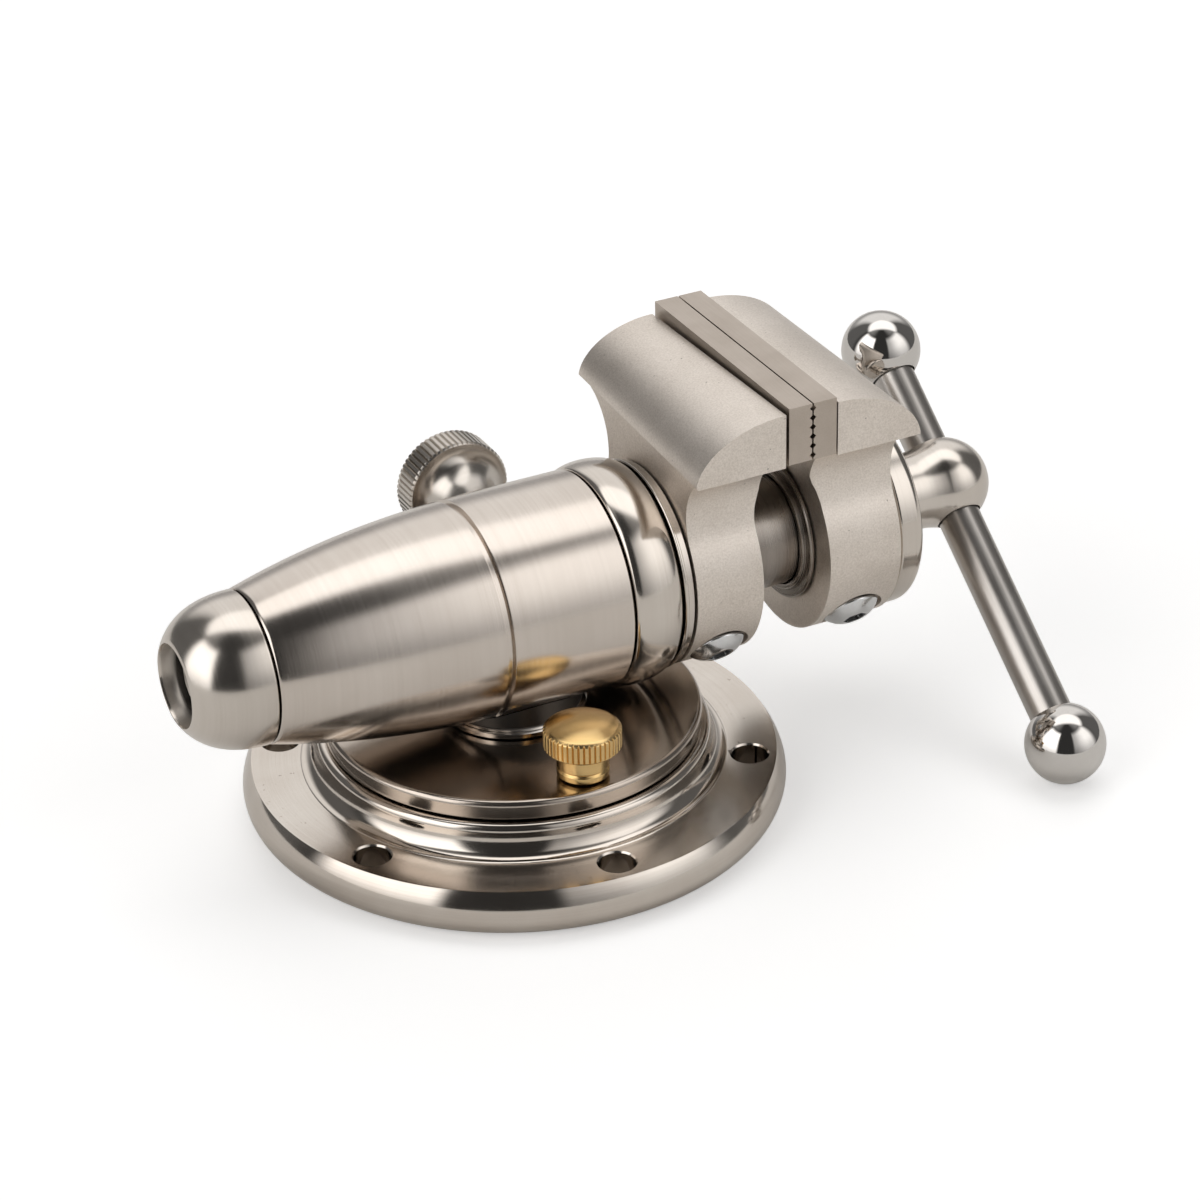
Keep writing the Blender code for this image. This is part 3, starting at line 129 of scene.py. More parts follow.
class Nodes:
    """A node tree whose nodes are added one by one."""

    def __init__(self, tree):
        self.tree = tree

    def node(self, kind, settings=None, **sockets):
        """A node of that kind, with its settings made first and its sockets filled or linked."""
        made = self.tree.nodes.new("ShaderNode" + kind)
        for label, value in (settings or {}).items():
            if label == "stops":
                self.fill_ramp(made.color_ramp, value)
            else:
                setattr(made, label, value)
        for label, value in sockets.items():
            self.plug(made.inputs[self.socket_key(made, label)], value)
        return made

    def socket_key(self, made, label):
        """The index or the name that a keyword stands for."""
        if label.startswith("in_"):
            return int(label[3:])
        return label.replace("_", " ")

    def fill_ramp(self, ramp, stops):
        """Set a ramp's stops, each (position, colour)."""
        while len(ramp.elements) < len(stops):
            ramp.elements.new(1.0)
        for element, (position, colour) in zip(ramp.elements, stops):
            element.position = position
            element.color = (*colour, 1.0)

    def plug(self, socket, value):
        """Link a wire into a socket, or set the socket's own value."""
        if isinstance(value, Wire):
            self.tree.links.new(value.socket, socket)
        else:
            socket.default_value = value

    def wire(self, made, output=0):
        """An output of a node as a wire."""
        return Wire(self, made.outputs[output])

    def maths(self, operation, first, second, clamp=False):
        """One Math node."""
        made = self.node("Math", {"operation": operation, "use_clamp": clamp}, in_0=first, in_1=second)
        return self.wire(made)

    def bent(self, operation, value):
        """One Math node with a single number, such as an arc sine."""
        return self.maths(operation, value, 0.0)

    def step(self, value, low, high):
        """From 0 at low to 1 at high, with soft ends."""
        settings = {"interpolation_type": "SMOOTHSTEP"}
        made = self.node("MapRange", settings, Value=value, From_Min=low, From_Max=high)
        return self.wire(made)

    def split(self, vector):
        """A vector's three numbers."""
        parts = self.node("SeparateXYZ", None, Vector=vector)
        return [self.wire(parts, index) for index in range(3)]

    def joined(self, x, y, z):
        """A vector from three numbers."""
        return self.wire(self.node("CombineXYZ", None, X=x, Y=y, Z=z))

    def noise(self, vector, scale, detail=2.0, roughness=0.5):
        """A cloudy pattern, from 0 to 1."""
        made = self.node("TexNoise", None, Vector=vector, Scale=scale, Detail=detail, Roughness=roughness)
        return self.wire(made, "Fac" if "Fac" in made.outputs else "Factor")

    def tint(self, value, colour):
        """A colour times a number."""
        made = self.node("VectorMath", {"operation": "SCALE"}, in_0=colour, Scale=value)
        return self.wire(made)

    def ramp(self, value, stops):
        """A colour that follows a number."""
        return self.wire(self.node("ValToRGB", {"stops": stops}, Fac=value))

    def blend(self, share, first, second):
        """A colour between two colours."""
        made = self.node("Mix", {"data_type": "RGBA"}, Factor=share, in_6=first, in_7=second)
        return self.wire(made, 2)


class Finish(Nodes):
    """A material whose Principled shader is shown."""

    def __init__(self, name, **values):
        self.material = bpy.data.materials.new(name)
        self.material.use_nodes = True
        super().__init__(self.material.node_tree)
        self.shader = self.tree.nodes["Principled BSDF"]
        self.output = self.tree.nodes["Material Output"]
        for label, value in values.items():
            self.shader.inputs[label.replace("_", " ").title()].default_value = value

    def place(self):
        """The point on the surface, in the frame's metres."""
        return self.wire(self.node("TexCoord"), "Object")

    def bump(self, height, distance, strength=1.0):
        """Press a height pattern into the surface."""
        made = self.node("Bump", None, Strength=strength, Distance=distance, Height=height)
        self.plug(self.shader.inputs["Normal"], self.wire(made))

    def colour(self, wire):
        self.plug(self.shader.inputs["Base Color"], wire)

    def rough(self, wire):
        self.plug(self.shader.inputs["Roughness"], wire)


# Finishes


def cylinder_place(finish, axis, centre):
    """Station along an axis, distance from it and a slow turn round it, as wires."""
    x, y, z = finish.split(finish.place())
    x = x - centre[0]
    y = y - centre[1]
    z = z - centre[2]
    if axis == "X":
        return x, (y * y + z * z) ** 0.5, y, z
    if axis == "Y":
        return y, (x * x + z * z) ** 0.5, x, z
    return z, (x * x + y * y) ** 0.5, x, y


def turned_metal(name, base, light, roughness, axis="X", centre=(0, 0, 0), marks=1.0, spread=0.1, mouth=None):
    """Metal finished on a lathe: fine rings round the axis, a slight change of tone, and, if it has a mouth, painted
    shade darkening the inside of the mouth, which is also made rougher.
    """
    finish = Finish(name, metallic=1.0)
    station, radius, first, second = cylinder_place(finish, axis, centre)
    rings = finish.joined(station * 7000, radius * 7000, (first + second) * 24)
    fine = finish.noise(rings, 1.0, 2.0, 0.5)
    bands = finish.joined(station * 900, radius * 900, (first - second) * 9)
    slow = finish.noise(bands, 1.0, 2.0, 0.5)
    smudge = finish.noise(finish.place(), 55.0, 3.0, 0.5)
    tone = slow * 0.2 + smudge * 0.55 + fine * 0.25
    colour = finish.ramp(tone, [(0.32, base), (0.68, light)])
    rough = (fine - 0.5) * spread + (smudge - 0.5) * spread + roughness
    if mouth:
        # Painted shade: the colour is darkened inside the mouth's bore, standing in for the shade in the hollow; the
        # roughness is raised there too.
        inside = 1 - finish.step(radius, mouth[0], mouth[1])
        colour = finish.tint(1 - inside * 0.85, colour)
        rough = rough + (1 - finish.step(radius, mouth[1] - 0.1 * mm, mouth[1])) * 0.22
    finish.colour(colour)
    finish.rough(rough)
    finish.bump(fine * 0.92 + slow * 0.08, 0.002 * mm * marks)
    return finish.material


def base_metal(name, base, light, roughness, flat_roughness):
    """Plated foot: bright turned edges, and a duller flat ring with tiny pits."""
    finish = Finish(name, metallic=1.0)
    station, radius, first, second = cylinder_place(finish, "Z", (0, 0, 0))
    flat = finish.step(radius, 38.2 * mm, 39.4 * mm) * (1 - finish.step(radius, 47.2 * mm, 47.8 * mm))
    flat = flat * finish.step(station, 9.3 * mm, 9.55 * mm)
    fine = finish.noise(finish.joined(station * 6000, radius * 6000, (first + second) * 24), 1.0, 2.0, 0.5)
    smudge = finish.noise(finish.place(), 60.0, 4.0, 0.55)
    specks = finish.step(finish.noise(finish.place(), 1100.0, 2.0, 0.5), 0.68, 0.76) * flat
    finish.colour(finish.ramp(smudge * 0.7 + fine * 0.3 - specks * 0.35, [(0.05, tuple(part * 0.5 for part in base)), (0.32, base), (0.68, light)]))
    finish.rough(flat * (flat_roughness - roughness) + (smudge - 0.5) * 0.12 + roughness)
    finish.bump(fine * 0.6 - specks, 0.002 * mm)
    return finish.material


def saddle_metal_painted_shade(name, base, light, roughness):
    """Bright foot ring, and painted shade darkening the neck under the barrel."""
    finish = Finish(name, metallic=1.0)
    station, radius, first, second = cylinder_place(finish, "Z", (0, 0, 0))
    smudge = finish.noise(finish.place(), 90.0, 3.0, 0.5)
    # Painted shade: above the foot ring the neck's colour is darkened, and made rougher, standing in for the shade
    # under the barrel.
    neck = finish.step(station, 20.75 * mm, 21.0 * mm)
    plain = finish.ramp(smudge, [(0.3, base), (0.7, light)])
    finish.colour(finish.tint(1 - neck * 0.85, plain))
    finish.rough(neck * 0.3 + (smudge - 0.5) * 0.08 + roughness)
    return finish.material


def blasted_metal(name, base, light, roughness):
    """Bead-blasted metal: a fine even grain, a few tiny pits."""
    finish = Finish(name, metallic=1.0)
    place = finish.place()
    grain = finish.noise(place, 3000.0, 2.0, 0.6)
    patches = finish.noise(place, 60.0, 3.0, 0.6)
    pits = finish.step(finish.noise(place, 1300.0, 1.0, 0.5), 0.76, 0.82)
    tone = grain * 0.6 + patches * 0.4 - pits * 0.4
    finish.colour(finish.ramp(tone, [(0.12, tuple(part * 0.6 for part in base)), (0.36, base), (0.64, light)]))
    finish.rough((patches - 0.5) * 0.1 + (grain - 0.5) * 0.1 + roughness)
    finish.bump(grain - pits * 0.8, 0.016 * mm)
    return finish.material


def ground_metal(name, base, light, roughness):
    """Ground steel: scratches along the jaw's width."""
    finish = Finish(name, metallic=1.0)
    x, y, z = finish.split(finish.place())
    scratches = finish.noise(finish.joined(x * 5200, y * 90, z * 5200), 1.0, 3.0, 0.65)
    patches = finish.noise(finish.place(), 90.0, 3.0, 0.6)
    finish.colour(finish.ramp(scratches * 0.4 + patches * 0.6, [(0.3, base), (0.7, light)]))
    finish.rough((scratches - 0.5) * 0.16 + roughness)
    finish.bump(scratches, 0.006 * mm)
    return finish.material


def drawn_metal(name, base, light, roughness, axis):
    """Bright drawn bar: faint lines along it."""
    finish = Finish(name, metallic=1.0)
    x, y, z = finish.split(finish.place())
    along = x * axis.x + y * axis.y + z * axis.z
    across = y * axis.z - z * axis.y
    lines = finish.noise(finish.joined(along * 70, across * 4000, x * 4000), 1.0, 2.0, 0.5)
    smudge = finish.noise(finish.place(), 80.0, 3.0, 0.5)
    finish.colour(finish.ramp(lines * 0.4 + smudge * 0.6, [(0.3, base), (0.7, light)]))
    finish.rough((smudge - 0.5) * 0.1 + (lines - 0.5) * 0.06 + roughness)
    finish.bump(lines, 0.003 * mm)
    return finish.material


def make_finishes():
    """Every finish of the vise, by name."""
    mid = tuple(barrel_centre)
    lock = tuple(head_lock_centre)
    low_lock = tuple(swivel_lock_centre)
    return {
        "barrel": turned_metal("satin_barrel", (0.57, 0.51, 0.455), (0.68, 0.62, 0.565), 0.18, "X", mid, 1.6, 0.12),
        "base": base_metal("satin_base", (0.545, 0.485, 0.43), (0.66, 0.61, 0.555), 0.11, 0.2),
        # Painted shade: the disc's nickel is given darker colours than the base's and barrel's, standing in for the
        # dark reflection of the barrel above it.
        "disc": turned_metal("satin_disc_painted_shade", (0.42, 0.365, 0.315), (0.52, 0.46, 0.405), 0.17, "Z", (0, 0, 0), 1.0, 0.06),
        "saddle": saddle_metal_painted_shade("saddle_steel_painted_shade", (0.55, 0.50, 0.45), (0.66, 0.61, 0.56), 0.14),
        "bead": turned_metal("polished_bead", (0.58, 0.525, 0.47), (0.68, 0.63, 0.575), 0.15, "X", mid, 1.0, 0.06),
        # The nose cap's mouth is darkened with painted shade inside its bore.
        "nose": turned_metal("polished_nose_painted_mouth_shade", (0.56, 0.51, 0.455), (0.66, 0.61, 0.56), 0.18, "X", mid, 1.4, 0.1, (6.5 * mm, 7.62 * mm)),
        "ball": turned_metal("polished_ball", (0.60, 0.575, 0.545), (0.68, 0.655, 0.63), 0.06, "X", mid, 0.3, 0.03),
        "hub": turned_metal("polished_hub", (0.58, 0.53, 0.475), (0.69, 0.64, 0.59), 0.18, "X", mid, 1.6, 0.12),
        "bar": drawn_metal("drawn_bar", (0.46, 0.43, 0.40), (0.58, 0.55, 0.52), 0.31, bar_axis),
        "jaw": blasted_metal("blasted_jaw", (0.66, 0.595, 0.53), (0.84, 0.775, 0.71), 0.44),
        "plate": ground_metal("ground_plate", (0.44, 0.38, 0.325), (0.57, 0.505, 0.445), 0.38),
        "tube": turned_metal("turned_tube", (0.25, 0.22, 0.195), (0.40, 0.365, 0.33), 0.27, "X", mid, 6.0, 0.18),
        "knob": turned_metal("knob_steel", (0.50, 0.46, 0.415), (0.61, 0.57, 0.525), 0.24, "Y", lock, 1.4, 0.08),
        "brass": turned_metal("knob_brass", (0.62, 0.405, 0.155), (0.76, 0.54, 0.255), 0.22, "Z", low_lock, 1.4, 0.1),
        "zinc": turned_metal("screw_zinc", (0.62, 0.625, 0.63), (0.74, 0.745, 0.75), 0.16, "X", mid, 1.0, 0.1),
        "bronze": turned_metal("bush_bronze", (0.48, 0.30, 0.15), (0.60, 0.40, 0.22), 0.38, "X", mid, 2.0, 0.12),
        "steel": turned_metal("inner_steel", (0.48, 0.46, 0.44), (0.58, 0.57, 0.55), 0.3, "X", mid, 2.0, 0.12),
    }


# Modelling, as by hand


def deselect():
    bpy.ops.object.select_all(action="DESELECT")


def spread(axis):
    """A direction at right angles to an axis."""
    return X_AXIS if abs(axis.z) > 0.5 else Z_AXIS


def arc(centre, radius, start, end, steps, radius_2=None):
    """Points of an arc or a quarter ellipse, from one angle to another in degrees."""
    radius_2 = radius if radius_2 is None else radius_2
    points = []
    for step in range(steps + 1):
        angle = math.radians(start + (end - start) * step / steps)
        points.append((centre[0] + radius * math.cos(angle), centre[1] + radius_2 * math.sin(angle)))
    return points


def traced(name, points, closed=True):
    """A wire through the points, made by pulling one vertex along; left in edit mode."""
    deselect()
    bpy.ops.mesh.primitive_plane_add(size=mm, location=(0, 0, 0))
    piece = bpy.context.object
    piece.name = name
    bpy.ops.object.mode_set(mode="EDIT")
    bpy.ops.mesh.select_mode(type="VERT")
    bpy.ops.mesh.merge(type="CENTER")
    bpy.ops.transform.translate(value=tuple(points[0]))
    for before, after in zip(points, points[1:]):
        bpy.ops.mesh.extrude_region_move(TRANSFORM_OT_translate={"value": tuple(after - before)})
    if closed:
        bpy.ops.mesh.select_all(action="DESELECT")
        bpy.ops.object.mode_set(mode="OBJECT")
        piece.data.vertices[0].select = True
        piece.data.vertices[len(points) - 1].select = True
        bpy.ops.object.mode_set(mode="EDIT")
        bpy.ops.mesh.edge_face_add()
    bpy.ops.mesh.select_all(action="SELECT")
    return piece


def settled(piece, merge=True):
    """Merge doubles, turn the faces outwards and leave edit mode."""
    bpy.ops.mesh.select_all(action="SELECT")
    if merge:
        bpy.ops.mesh.remove_doubles(threshold=0.002 * mm)
    bpy.ops.mesh.normals_make_consistent(inside=False)
    bpy.ops.object.mode_set(mode="OBJECT")
    return piece


def turned(name, outline, axis, centre, steps):
    """Spin an outline of (station, radius) points in millimetres about an axis through the centre."""
    side = spread(axis)
    points = [centre + (axis * station + side * radius) * mm for station, radius in outline]
    on_axis = outline[0][1] == 0 and outline[-1][1] == 0
    piece = traced(name, points, closed=not on_axis)
    bpy.ops.mesh.spin(steps=steps, angle=math.tau, center=centre, axis=axis)
    return settled(piece)


def extruded(name, points, depth):
    """A closed outline pulled along the depth vector."""
    piece = traced(name, points)
    bpy.ops.mesh.edge_face_add()
    bpy.ops.mesh.extrude_region_move(TRANSFORM_OT_translate={"value": tuple(depth)})
    return settled(piece)


def carve(piece, tool, operation="DIFFERENCE"):
    """Cut a piece by a tool, or keep what both share, and remove the tool."""
    modifier = piece.modifiers.new("carve", "BOOLEAN")
    modifier.operation = operation
    modifier.solver = "EXACT"
    modifier.object = tool
    apply_modifier(piece, modifier)
    bpy.data.objects.remove(tool, do_unlink=True)
    return piece


def apply_modifier(piece, modifier):
    deselect()
    piece.select_set(True)
    bpy.context.view_layer.objects.active = piece
    bpy.ops.object.modifier_apply(modifier=modifier.name)


def soften(piece, width, segments=3, angle=35):
    """Round the sharp edges a little."""
    modifier = piece.modifiers.new("soften", "BEVEL")
    modifier.width = width
    modifier.segments = segments
    modifier.limit_method = "ANGLE"
    modifier.angle_limit = math.radians(angle)
    apply_modifier(piece, modifier)
    smooth(piece)
    weighted = piece.modifiers.new("even_normals", "WEIGHTED_NORMAL")
    weighted.keep_sharp = True
    apply_modifier(piece, weighted)
    return piece


def smooth(piece):
    deselect()
    piece.select_set(True)
    bpy.context.view_layer.objects.active = piece
    bpy.ops.object.shade_smooth_by_angle(angle=smooth_angle)


def dress(piece, finish, slot, body, *nodes):
    """Give a piece its finish, its body and the CAD nodes that it stands for."""
    piece.data.materials.clear()
    piece.data.materials.append(finishes[finish])
    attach(piece, body)
    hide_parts(*nodes)
    return piece


def repaint(node, finish):
    """Give a CAD node a better material."""
    piece = frame["nodes"][node]
    if not piece.material_slots:
        piece.data.materials.append(finishes[finish])
    for place in piece.material_slots:
        place.material = finishes[finish]


make_camera()
finishes = make_finishes()


# Pieces on the swivel axis


def make_base():
    """The foot: rounded rim, flange, cove and step, with six bolt holes."""
    outline = [(0, 9.3)] + arc((5.0, 44.5), 5.0, 180, 75, 24)
    outline += arc((3.628, 39.381), 10.3, 75, 54.56, 8)[1:]
    outline += [(9.6, 38.8), (9.75, 38.6)]
    outline += arc((13.7, 38.6), 3.95, 180, 270, 20, 2.85)[1:]
    outline += [(13.8, 35.9)] + arc((13.95, 34.6), 1.35, 90, 0, 10, 1.3)
    outline += [(15.3, 31.6), (13.3, 31.6), (13.3, 24.6), (15.3, 24.6)]
    outline += [(15.3, 15.0), (9.2, 15.0), (9.2, 4.3), (3.3, 4.3), (3.3, 9.3)]
    base = turned("base", outline, Z_AXIS, Vector((0, 0, 0)), wide_steps)
    hole = [(-2, 0), (-2, 3.3), (9.3, 3.3), (9.6, 3.6), (12, 3.6), (12, 0)]
    for index in range(6):
        angle = math.radians(-31.5 + 60 * index)
        centre = Vector((math.cos(angle), math.sin(angle), 0)) * 42.9 * mm
        carve(base, turned("bolt_hole", hole, Z_AXIS, centre, small_steps))
    soften(base, 0.22 * mm)
    dress(base, "base", "satin_nickel", "base", "base_flange")


def make_turntable():
    """The disc that turns on the base."""
    outline = [(10.9, 4.3), (10.9, 14.7), (15.6, 14.7), (15.6, 34.0), (15.8, 34.2)]
    outline += arc((18.2, 33.3), 1.0, 90, 0, 12)
    outline += [(19.2, 7.9), (13.1, 7.9), (13.1, 4.3)]
    disc = turned("turntable_disc", outline, Z_AXIS, Vector((0, 0, 0)), wide_steps)
    stud = [(10, 0), (10, 2.8), (22, 2.8), (22, 0)]
    carve(disc, turned("stud_hole", stud, Z_AXIS, swivel_lock_centre, small_steps))
    soften(disc, 0.15 * mm)
    dress(disc, "disc", "satin_nickel", "turret", "turntable")


def make_saddle():
    """The short neck under the barrel, with its foot ring."""
    outline = [(19.5, 0), (19.5, 13.4), (20.3, 13.4), (20.6, 13.1), (20.6, 12.9), (21.1, 12.4), (31, 12.4), (31, 0)]
    saddle = turned("saddle_neck", outline, Z_AXIS, Vector((0, 0, 0)), round_steps)
    barrel = [(-30, 0), (-30, 20.1), (30, 20.1), (30, 0)]
    carve(saddle, turned("barrel_seat", barrel, X_AXIS, barrel_centre, wide_steps))
    soften(saddle, 0.15 * mm)
    dress(saddle, "saddle", "satin_nickel", "turret", "barrel_saddle")


def make_swivel_lock():
    """The knurled brass knob: ribs pressed into the rim, a domed top and a turned neck."""
    z = swivel_lock_centre.z / mm
    outline = [(16.2, 0), (16.2, 2.5), (19.5, 2.5), (19.5, 4.3), (19.9, 4.7), (20.9, 4.7), (21.1, 4.45), (21.3, 4.3)]
    outline += [(21.5, 4.45), (21.7, 4.7), (24.4, 4.7), (24.9, 5.3), (24.9, 6.4), (25.4, 6.95)]
    outline += [(28.6, 6.95), (29.1, 6.4)]
    outline += [(29.1 + 1.1 * (1 - (radius / 6.4) ** 2), radius) for radius in (6.0, 5.2, 4.3, 3.3, 2.2, 1.1, 0)]
    knob = turned("swivel_lock_head", [(station - z, radius) for station, radius in outline], Z_AXIS, swivel_lock_centre, 132)
    knurl(knob, Z_AXIS, swivel_lock_centre, 24.7 - z, 29.3 - z, 7.05, 44, 0.5)
    soften(knob, 0.08 * mm)
    dress(knob, "brass", "polished_brass", "swivel_lock", "swivel_lock_knob")


def knurl(piece, axis, centre, low, high, radius, count, depth):
    """Cut straight V grooves into a rim: one cutter, copied round, and taken away together."""
    side = spread(axis)
    across = axis.cross(side)
    half = math.pi * radius / count * 0.8
    corners = [
        centre + axis * low * mm + side * (radius - depth) * mm,
        centre + axis * low * mm + side * (radius + 0.3) * mm + across * half * mm,
        centre + axis * low * mm + side * (radius + 0.3) * mm - across * half * mm,
    ]
    tool = extruded("rib_cutter", corners, axis * (high - low) * mm)
    bpy.ops.object.mode_set(mode="EDIT")
    bpy.ops.mesh.select_all(action="SELECT")
    bpy.ops.mesh.spin(steps=count, dupli=True, angle=math.tau, center=centre, axis=axis)
    bpy.ops.mesh.select_all(action="SELECT")
    bpy.ops.mesh.remove_doubles(threshold=0.002 * mm)
    bpy.ops.mesh.normals_make_consistent(inside=False)
    bpy.ops.object.mode_set(mode="OBJECT")
    carve(piece, tool)


# Pieces on the barrel's axis


def make_barrel():
    """The tapered barrel with its turned groove."""
    def radius_at(station):
        share = max(0.0, -station / 50.2)
        return 20.0 - 6.0 * share ** 2.25

    outline = [(15.2, 17.0), (15.2, 19.6), (14.8, 20.0), (7.0, 20.0), (0.0, 20.0)]
    outline += [(station, radius_at(station)) for station in (-3.0, -6.0, -8.2)]
    outline += [(-8.4, radius_at(-8.4)), (-8.7, 19.1), (-9.4, 19.1), (-9.75, radius_at(-9.75))]
    outline += [(-10 - step * 1.585, radius_at(-10 - step * 1.585)) for step in range(26)]
    outline += [(-50.0, 14.0), (-50.2, 13.8), (-50.2, 10.8), (-25.5, 14.8), (-25.5, 15.4)]
    outline += [(-9.0, 15.4), (-9.0, 17.0)]
    barrel = turned("barrel_body", outline, X_AXIS, barrel_centre, wide_steps)
    clear = [(15.5, 0), (15.5, 4.9), (22, 4.9), (22, 0)]
    centre = barrel_centre + X_AXIS * 9.5 * mm
    carve(barrel, turned("lock_hole", clear, Y_AXIS, centre, small_steps))
    soften(barrel, 0.1 * mm)
    dress(barrel, "barrel", "satin_nickel", "turret", "barrel")


def make_nose():
    """The domed cap with the open mouth at the barrel's rear."""
    outline = [(-46.5, 8.7), (-46.5, 10.5), (-50.5, 10.5), (-50.5, 13.7)]
    steps = 36
    for step in range(steps + 1):
        along = 0.3 + 13.5 * step / steps
        outline.append((-50.5 - along, 14.0 * (1 - (along / 15.52) ** 2.4) ** (1 / 2.4)))
    outline += [(-64.3, 7.65), (-63.3, 7.5), (-62.4, 7.25), (-61.8, 6.95), (-61.5, 6.7), (-61.5, 6.5), (-61.4, 6.4)]
    outline += [(-50.5, 6.4)]
    cap = turned("nose_cap_shell", outline, X_AXIS, barrel_centre, wide_steps)
    soften(cap, 0.1 * mm)
    dress(cap, "nose", "polished_nickel", "turret", "nose_cap")


def make_bead():
    """The bulging ring in front of the barrel."""
    outline = [(15.5, 17.0), (15.5, 19.4)]
    steps = 28
    for step in range(steps + 1):
        angle = math.pi * (1 - step / steps)
        lean = 0.8 * step / steps
        outline.append((20.2 + 4.7 * math.cos(angle), 19.7 - lean + 1.5 * math.sin(angle)))
    outline += [(24.9, 17.0)]
    bead = turned("bead_ring", outline, X_AXIS, barrel_centre, wide_steps)
    soften(bead, 0.08 * mm)
    dress(bead, "bead", "polished_nickel", "turret", "bead_collar")
    collar_outline = [(25.4, 15.3), (25.4, 19.3), (25.6, 19.5), (26.0, 19.5), (26.15, 19.3), (26.2, 19.0)]
    collar_outline += [(27.3, 19.0), (27.6, 18.7), (27.6, 15.3)]
    collar = turned("head_ring", collar_outline, X_AXIS, barrel_centre, wide_steps)
    soften(collar, 0.06 * mm)
    dress(collar, "bead", "polished_nickel", "head", "head_collar")


def jaw_front_outline():
    """Ring, waisted neck and block of a jaw, seen along the barrel's axis."""
    ring, flare, bottom, half_width, top = 19.2, 11.0, 26.6, 24.9, 38.0
    centre_rise = bottom - flare
    centre_side = math.sqrt((ring + flare) ** 2 - centre_rise ** 2)
    touch = math.degrees(math.atan2(centre_rise, centre_side))
    end = math.degrees(math.acos((centre_side - half_width) / flare))
    right = arc((0, 0), ring, -90, touch, 56)
    right += arc((centre_side, centre_rise), flare, 180 + touch, 180 - end, 24)[1:]
    right.append((half_width, top))
    return right + [(-side, rise) for side, rise in reversed(right[1:])]


def narrow_far_end(jaw, block_x, ring_far_x, length_share, height_share):
    """Draw the block in towards its far end, as the casting is."""
    bottom = barrel_centre.z + 26.6 * mm
    reach = (abs(ring_far_x - block_x) + 0.3) * mm
    for part in (*jaw.data.polygons, *jaw.data.edges):
        part.select = False
    for vertex in jaw.data.vertices:
        place = vertex.co
        in_block = place.z > bottom + 0.3 * mm or abs(place.x - block_x * mm) > reach
        vertex.select = place.y > 0 and in_block
    deselect()
    bpy.context.view_layer.objects.active = jaw
    bpy.ops.object.mode_set(mode="EDIT")
    bpy.ops.transform.resize(value=(length_share, 1.0, height_share), center_override=(block_x * mm, 0, bottom))
    bpy.ops.object.mode_set(mode="OBJECT")


def make_jaw(name, block_x, block, ring_near_x, ring_far_x, relief_depth, facing, bore):
    """A jaw: its outline from the side, kept only inside its outline from the front.

    The block is its length, and the shares of length and height that are left at its far end.
    """
    length, length_share, height_share = block
    bottom = 26.6
    slot_low = bottom - 1.5
    away = 180 if facing > 0 else 0
    tip_x = block_x - facing * length
    tip_angle = math.degrees(math.asin(1.2 / 11.1))
    outline = [(ring_far_x, -22.0), (block_x, -22.0)]
    outline += arc((block_x - facing * 3.0, slot_low - 3.0), 3.0, 180 - away, 90, 12)
    outline += [(block_x - facing * relief_depth, slot_low), (block_x - facing * relief_depth, bottom), (block_x, bottom)]
    outline += arc((block_x, bottom - 0.7), length, 90, away - facing * tip_angle, 40, 11.1)
    if facing * (ring_far_x - tip_x) > 1:
        outline.append((tip_x + facing * 0.5, bottom))
    outline += [(ring_far_x, bottom)]
    start = barrel_centre - Y_AXIS * 24.9 * mm
    side = [start + X_AXIS * along * mm + Z_AXIS * rise * mm for along, rise in outline]
    jaw = extruded(name, side, Y_AXIS * 49.8 * mm)
    narrow_far_end(jaw, block_x, ring_far_x, length_share, height_share)
    low_x = min(tip_x, ring_far_x, block_x) - 2
    high_x = max(tip_x, ring_far_x, block_x) + 2
    front = [barrel_centre + X_AXIS * low_x * mm + Y_AXIS * along * mm + Z_AXIS * rise * mm for along, rise in jaw_front_outline()]
    carve(jaw, extruded(name + "_front", front, X_AXIS * (high_x - low_x) * mm), "INTERSECT")
    step = [(ring_far_x - facing * 2, 0), (ring_far_x - facing * 2, bore[0]), (bore[1], bore[0]), (bore[1], 10.6)]
    deep = block_x - ring_near_x
    step += [(ring_near_x, 10.6), (ring_near_x, 18.6), (ring_near_x + deep * 0.12, 19.6)]
    step += [(ring_near_x + deep * 0.4, 20.8), (ring_near_x + deep * 0.75, 22.0), (block_x, 23.4)]
    step += [(block_x + facing * 2, 23.6), (block_x + facing * 2, 0)]
    carve(jaw, turned(name + "_bore", step, X_AXIS, barrel_centre, wide_steps))
    return jaw


screw_turn = math.radians(-42.0)
screw_direction = Vector((0, -math.cos(screw_turn), math.sin(screw_turn)))


def make_ring_screw(jaw, node, middle_x, body, shank):
    """A button-head screw in its seat on a jaw's ring."""
    centre = barrel_centre + X_AXIS * middle_x * mm
    seat = [(shank - 0.3, 0), (shank - 0.3, 3.3), (18.1, 3.3), (18.1, 5.85), (21, 5.85), (21, 0)]
    carve(jaw, turned("screw_seat", seat, screw_direction, centre, small_steps))
    outline = [(shank, 0), (shank, 3.0), (18.4, 3.0), (18.4, 5.1), (18.55, 5.25), (18.85, 5.25)]
    outline += [(19.5, 4.55), (20.05, 3.85), (20.4, 3.15), (20.55, 2.65), (20.6, 2.5), (20.6, 0)]
    screw = turned(node + "_finish", outline, screw_direction, centre, round_steps)
    top = centre + screw_direction * 21.2 * mm
    across = screw_direction.cross(X_AXIS)
    corners = []
    for index in range(6):
        angle = math.tau * index / 6 + 0.3
        corners.append(top + (X_AXIS * math.cos(angle) + across * math.sin(angle)) * 2.3 * mm)
    carve(screw, extruded("hex_socket", corners, screw_direction * -2.5 * mm))
    soften(screw, 0.12 * mm)
    dress(screw, "zinc", "bright_zinc", body, node)


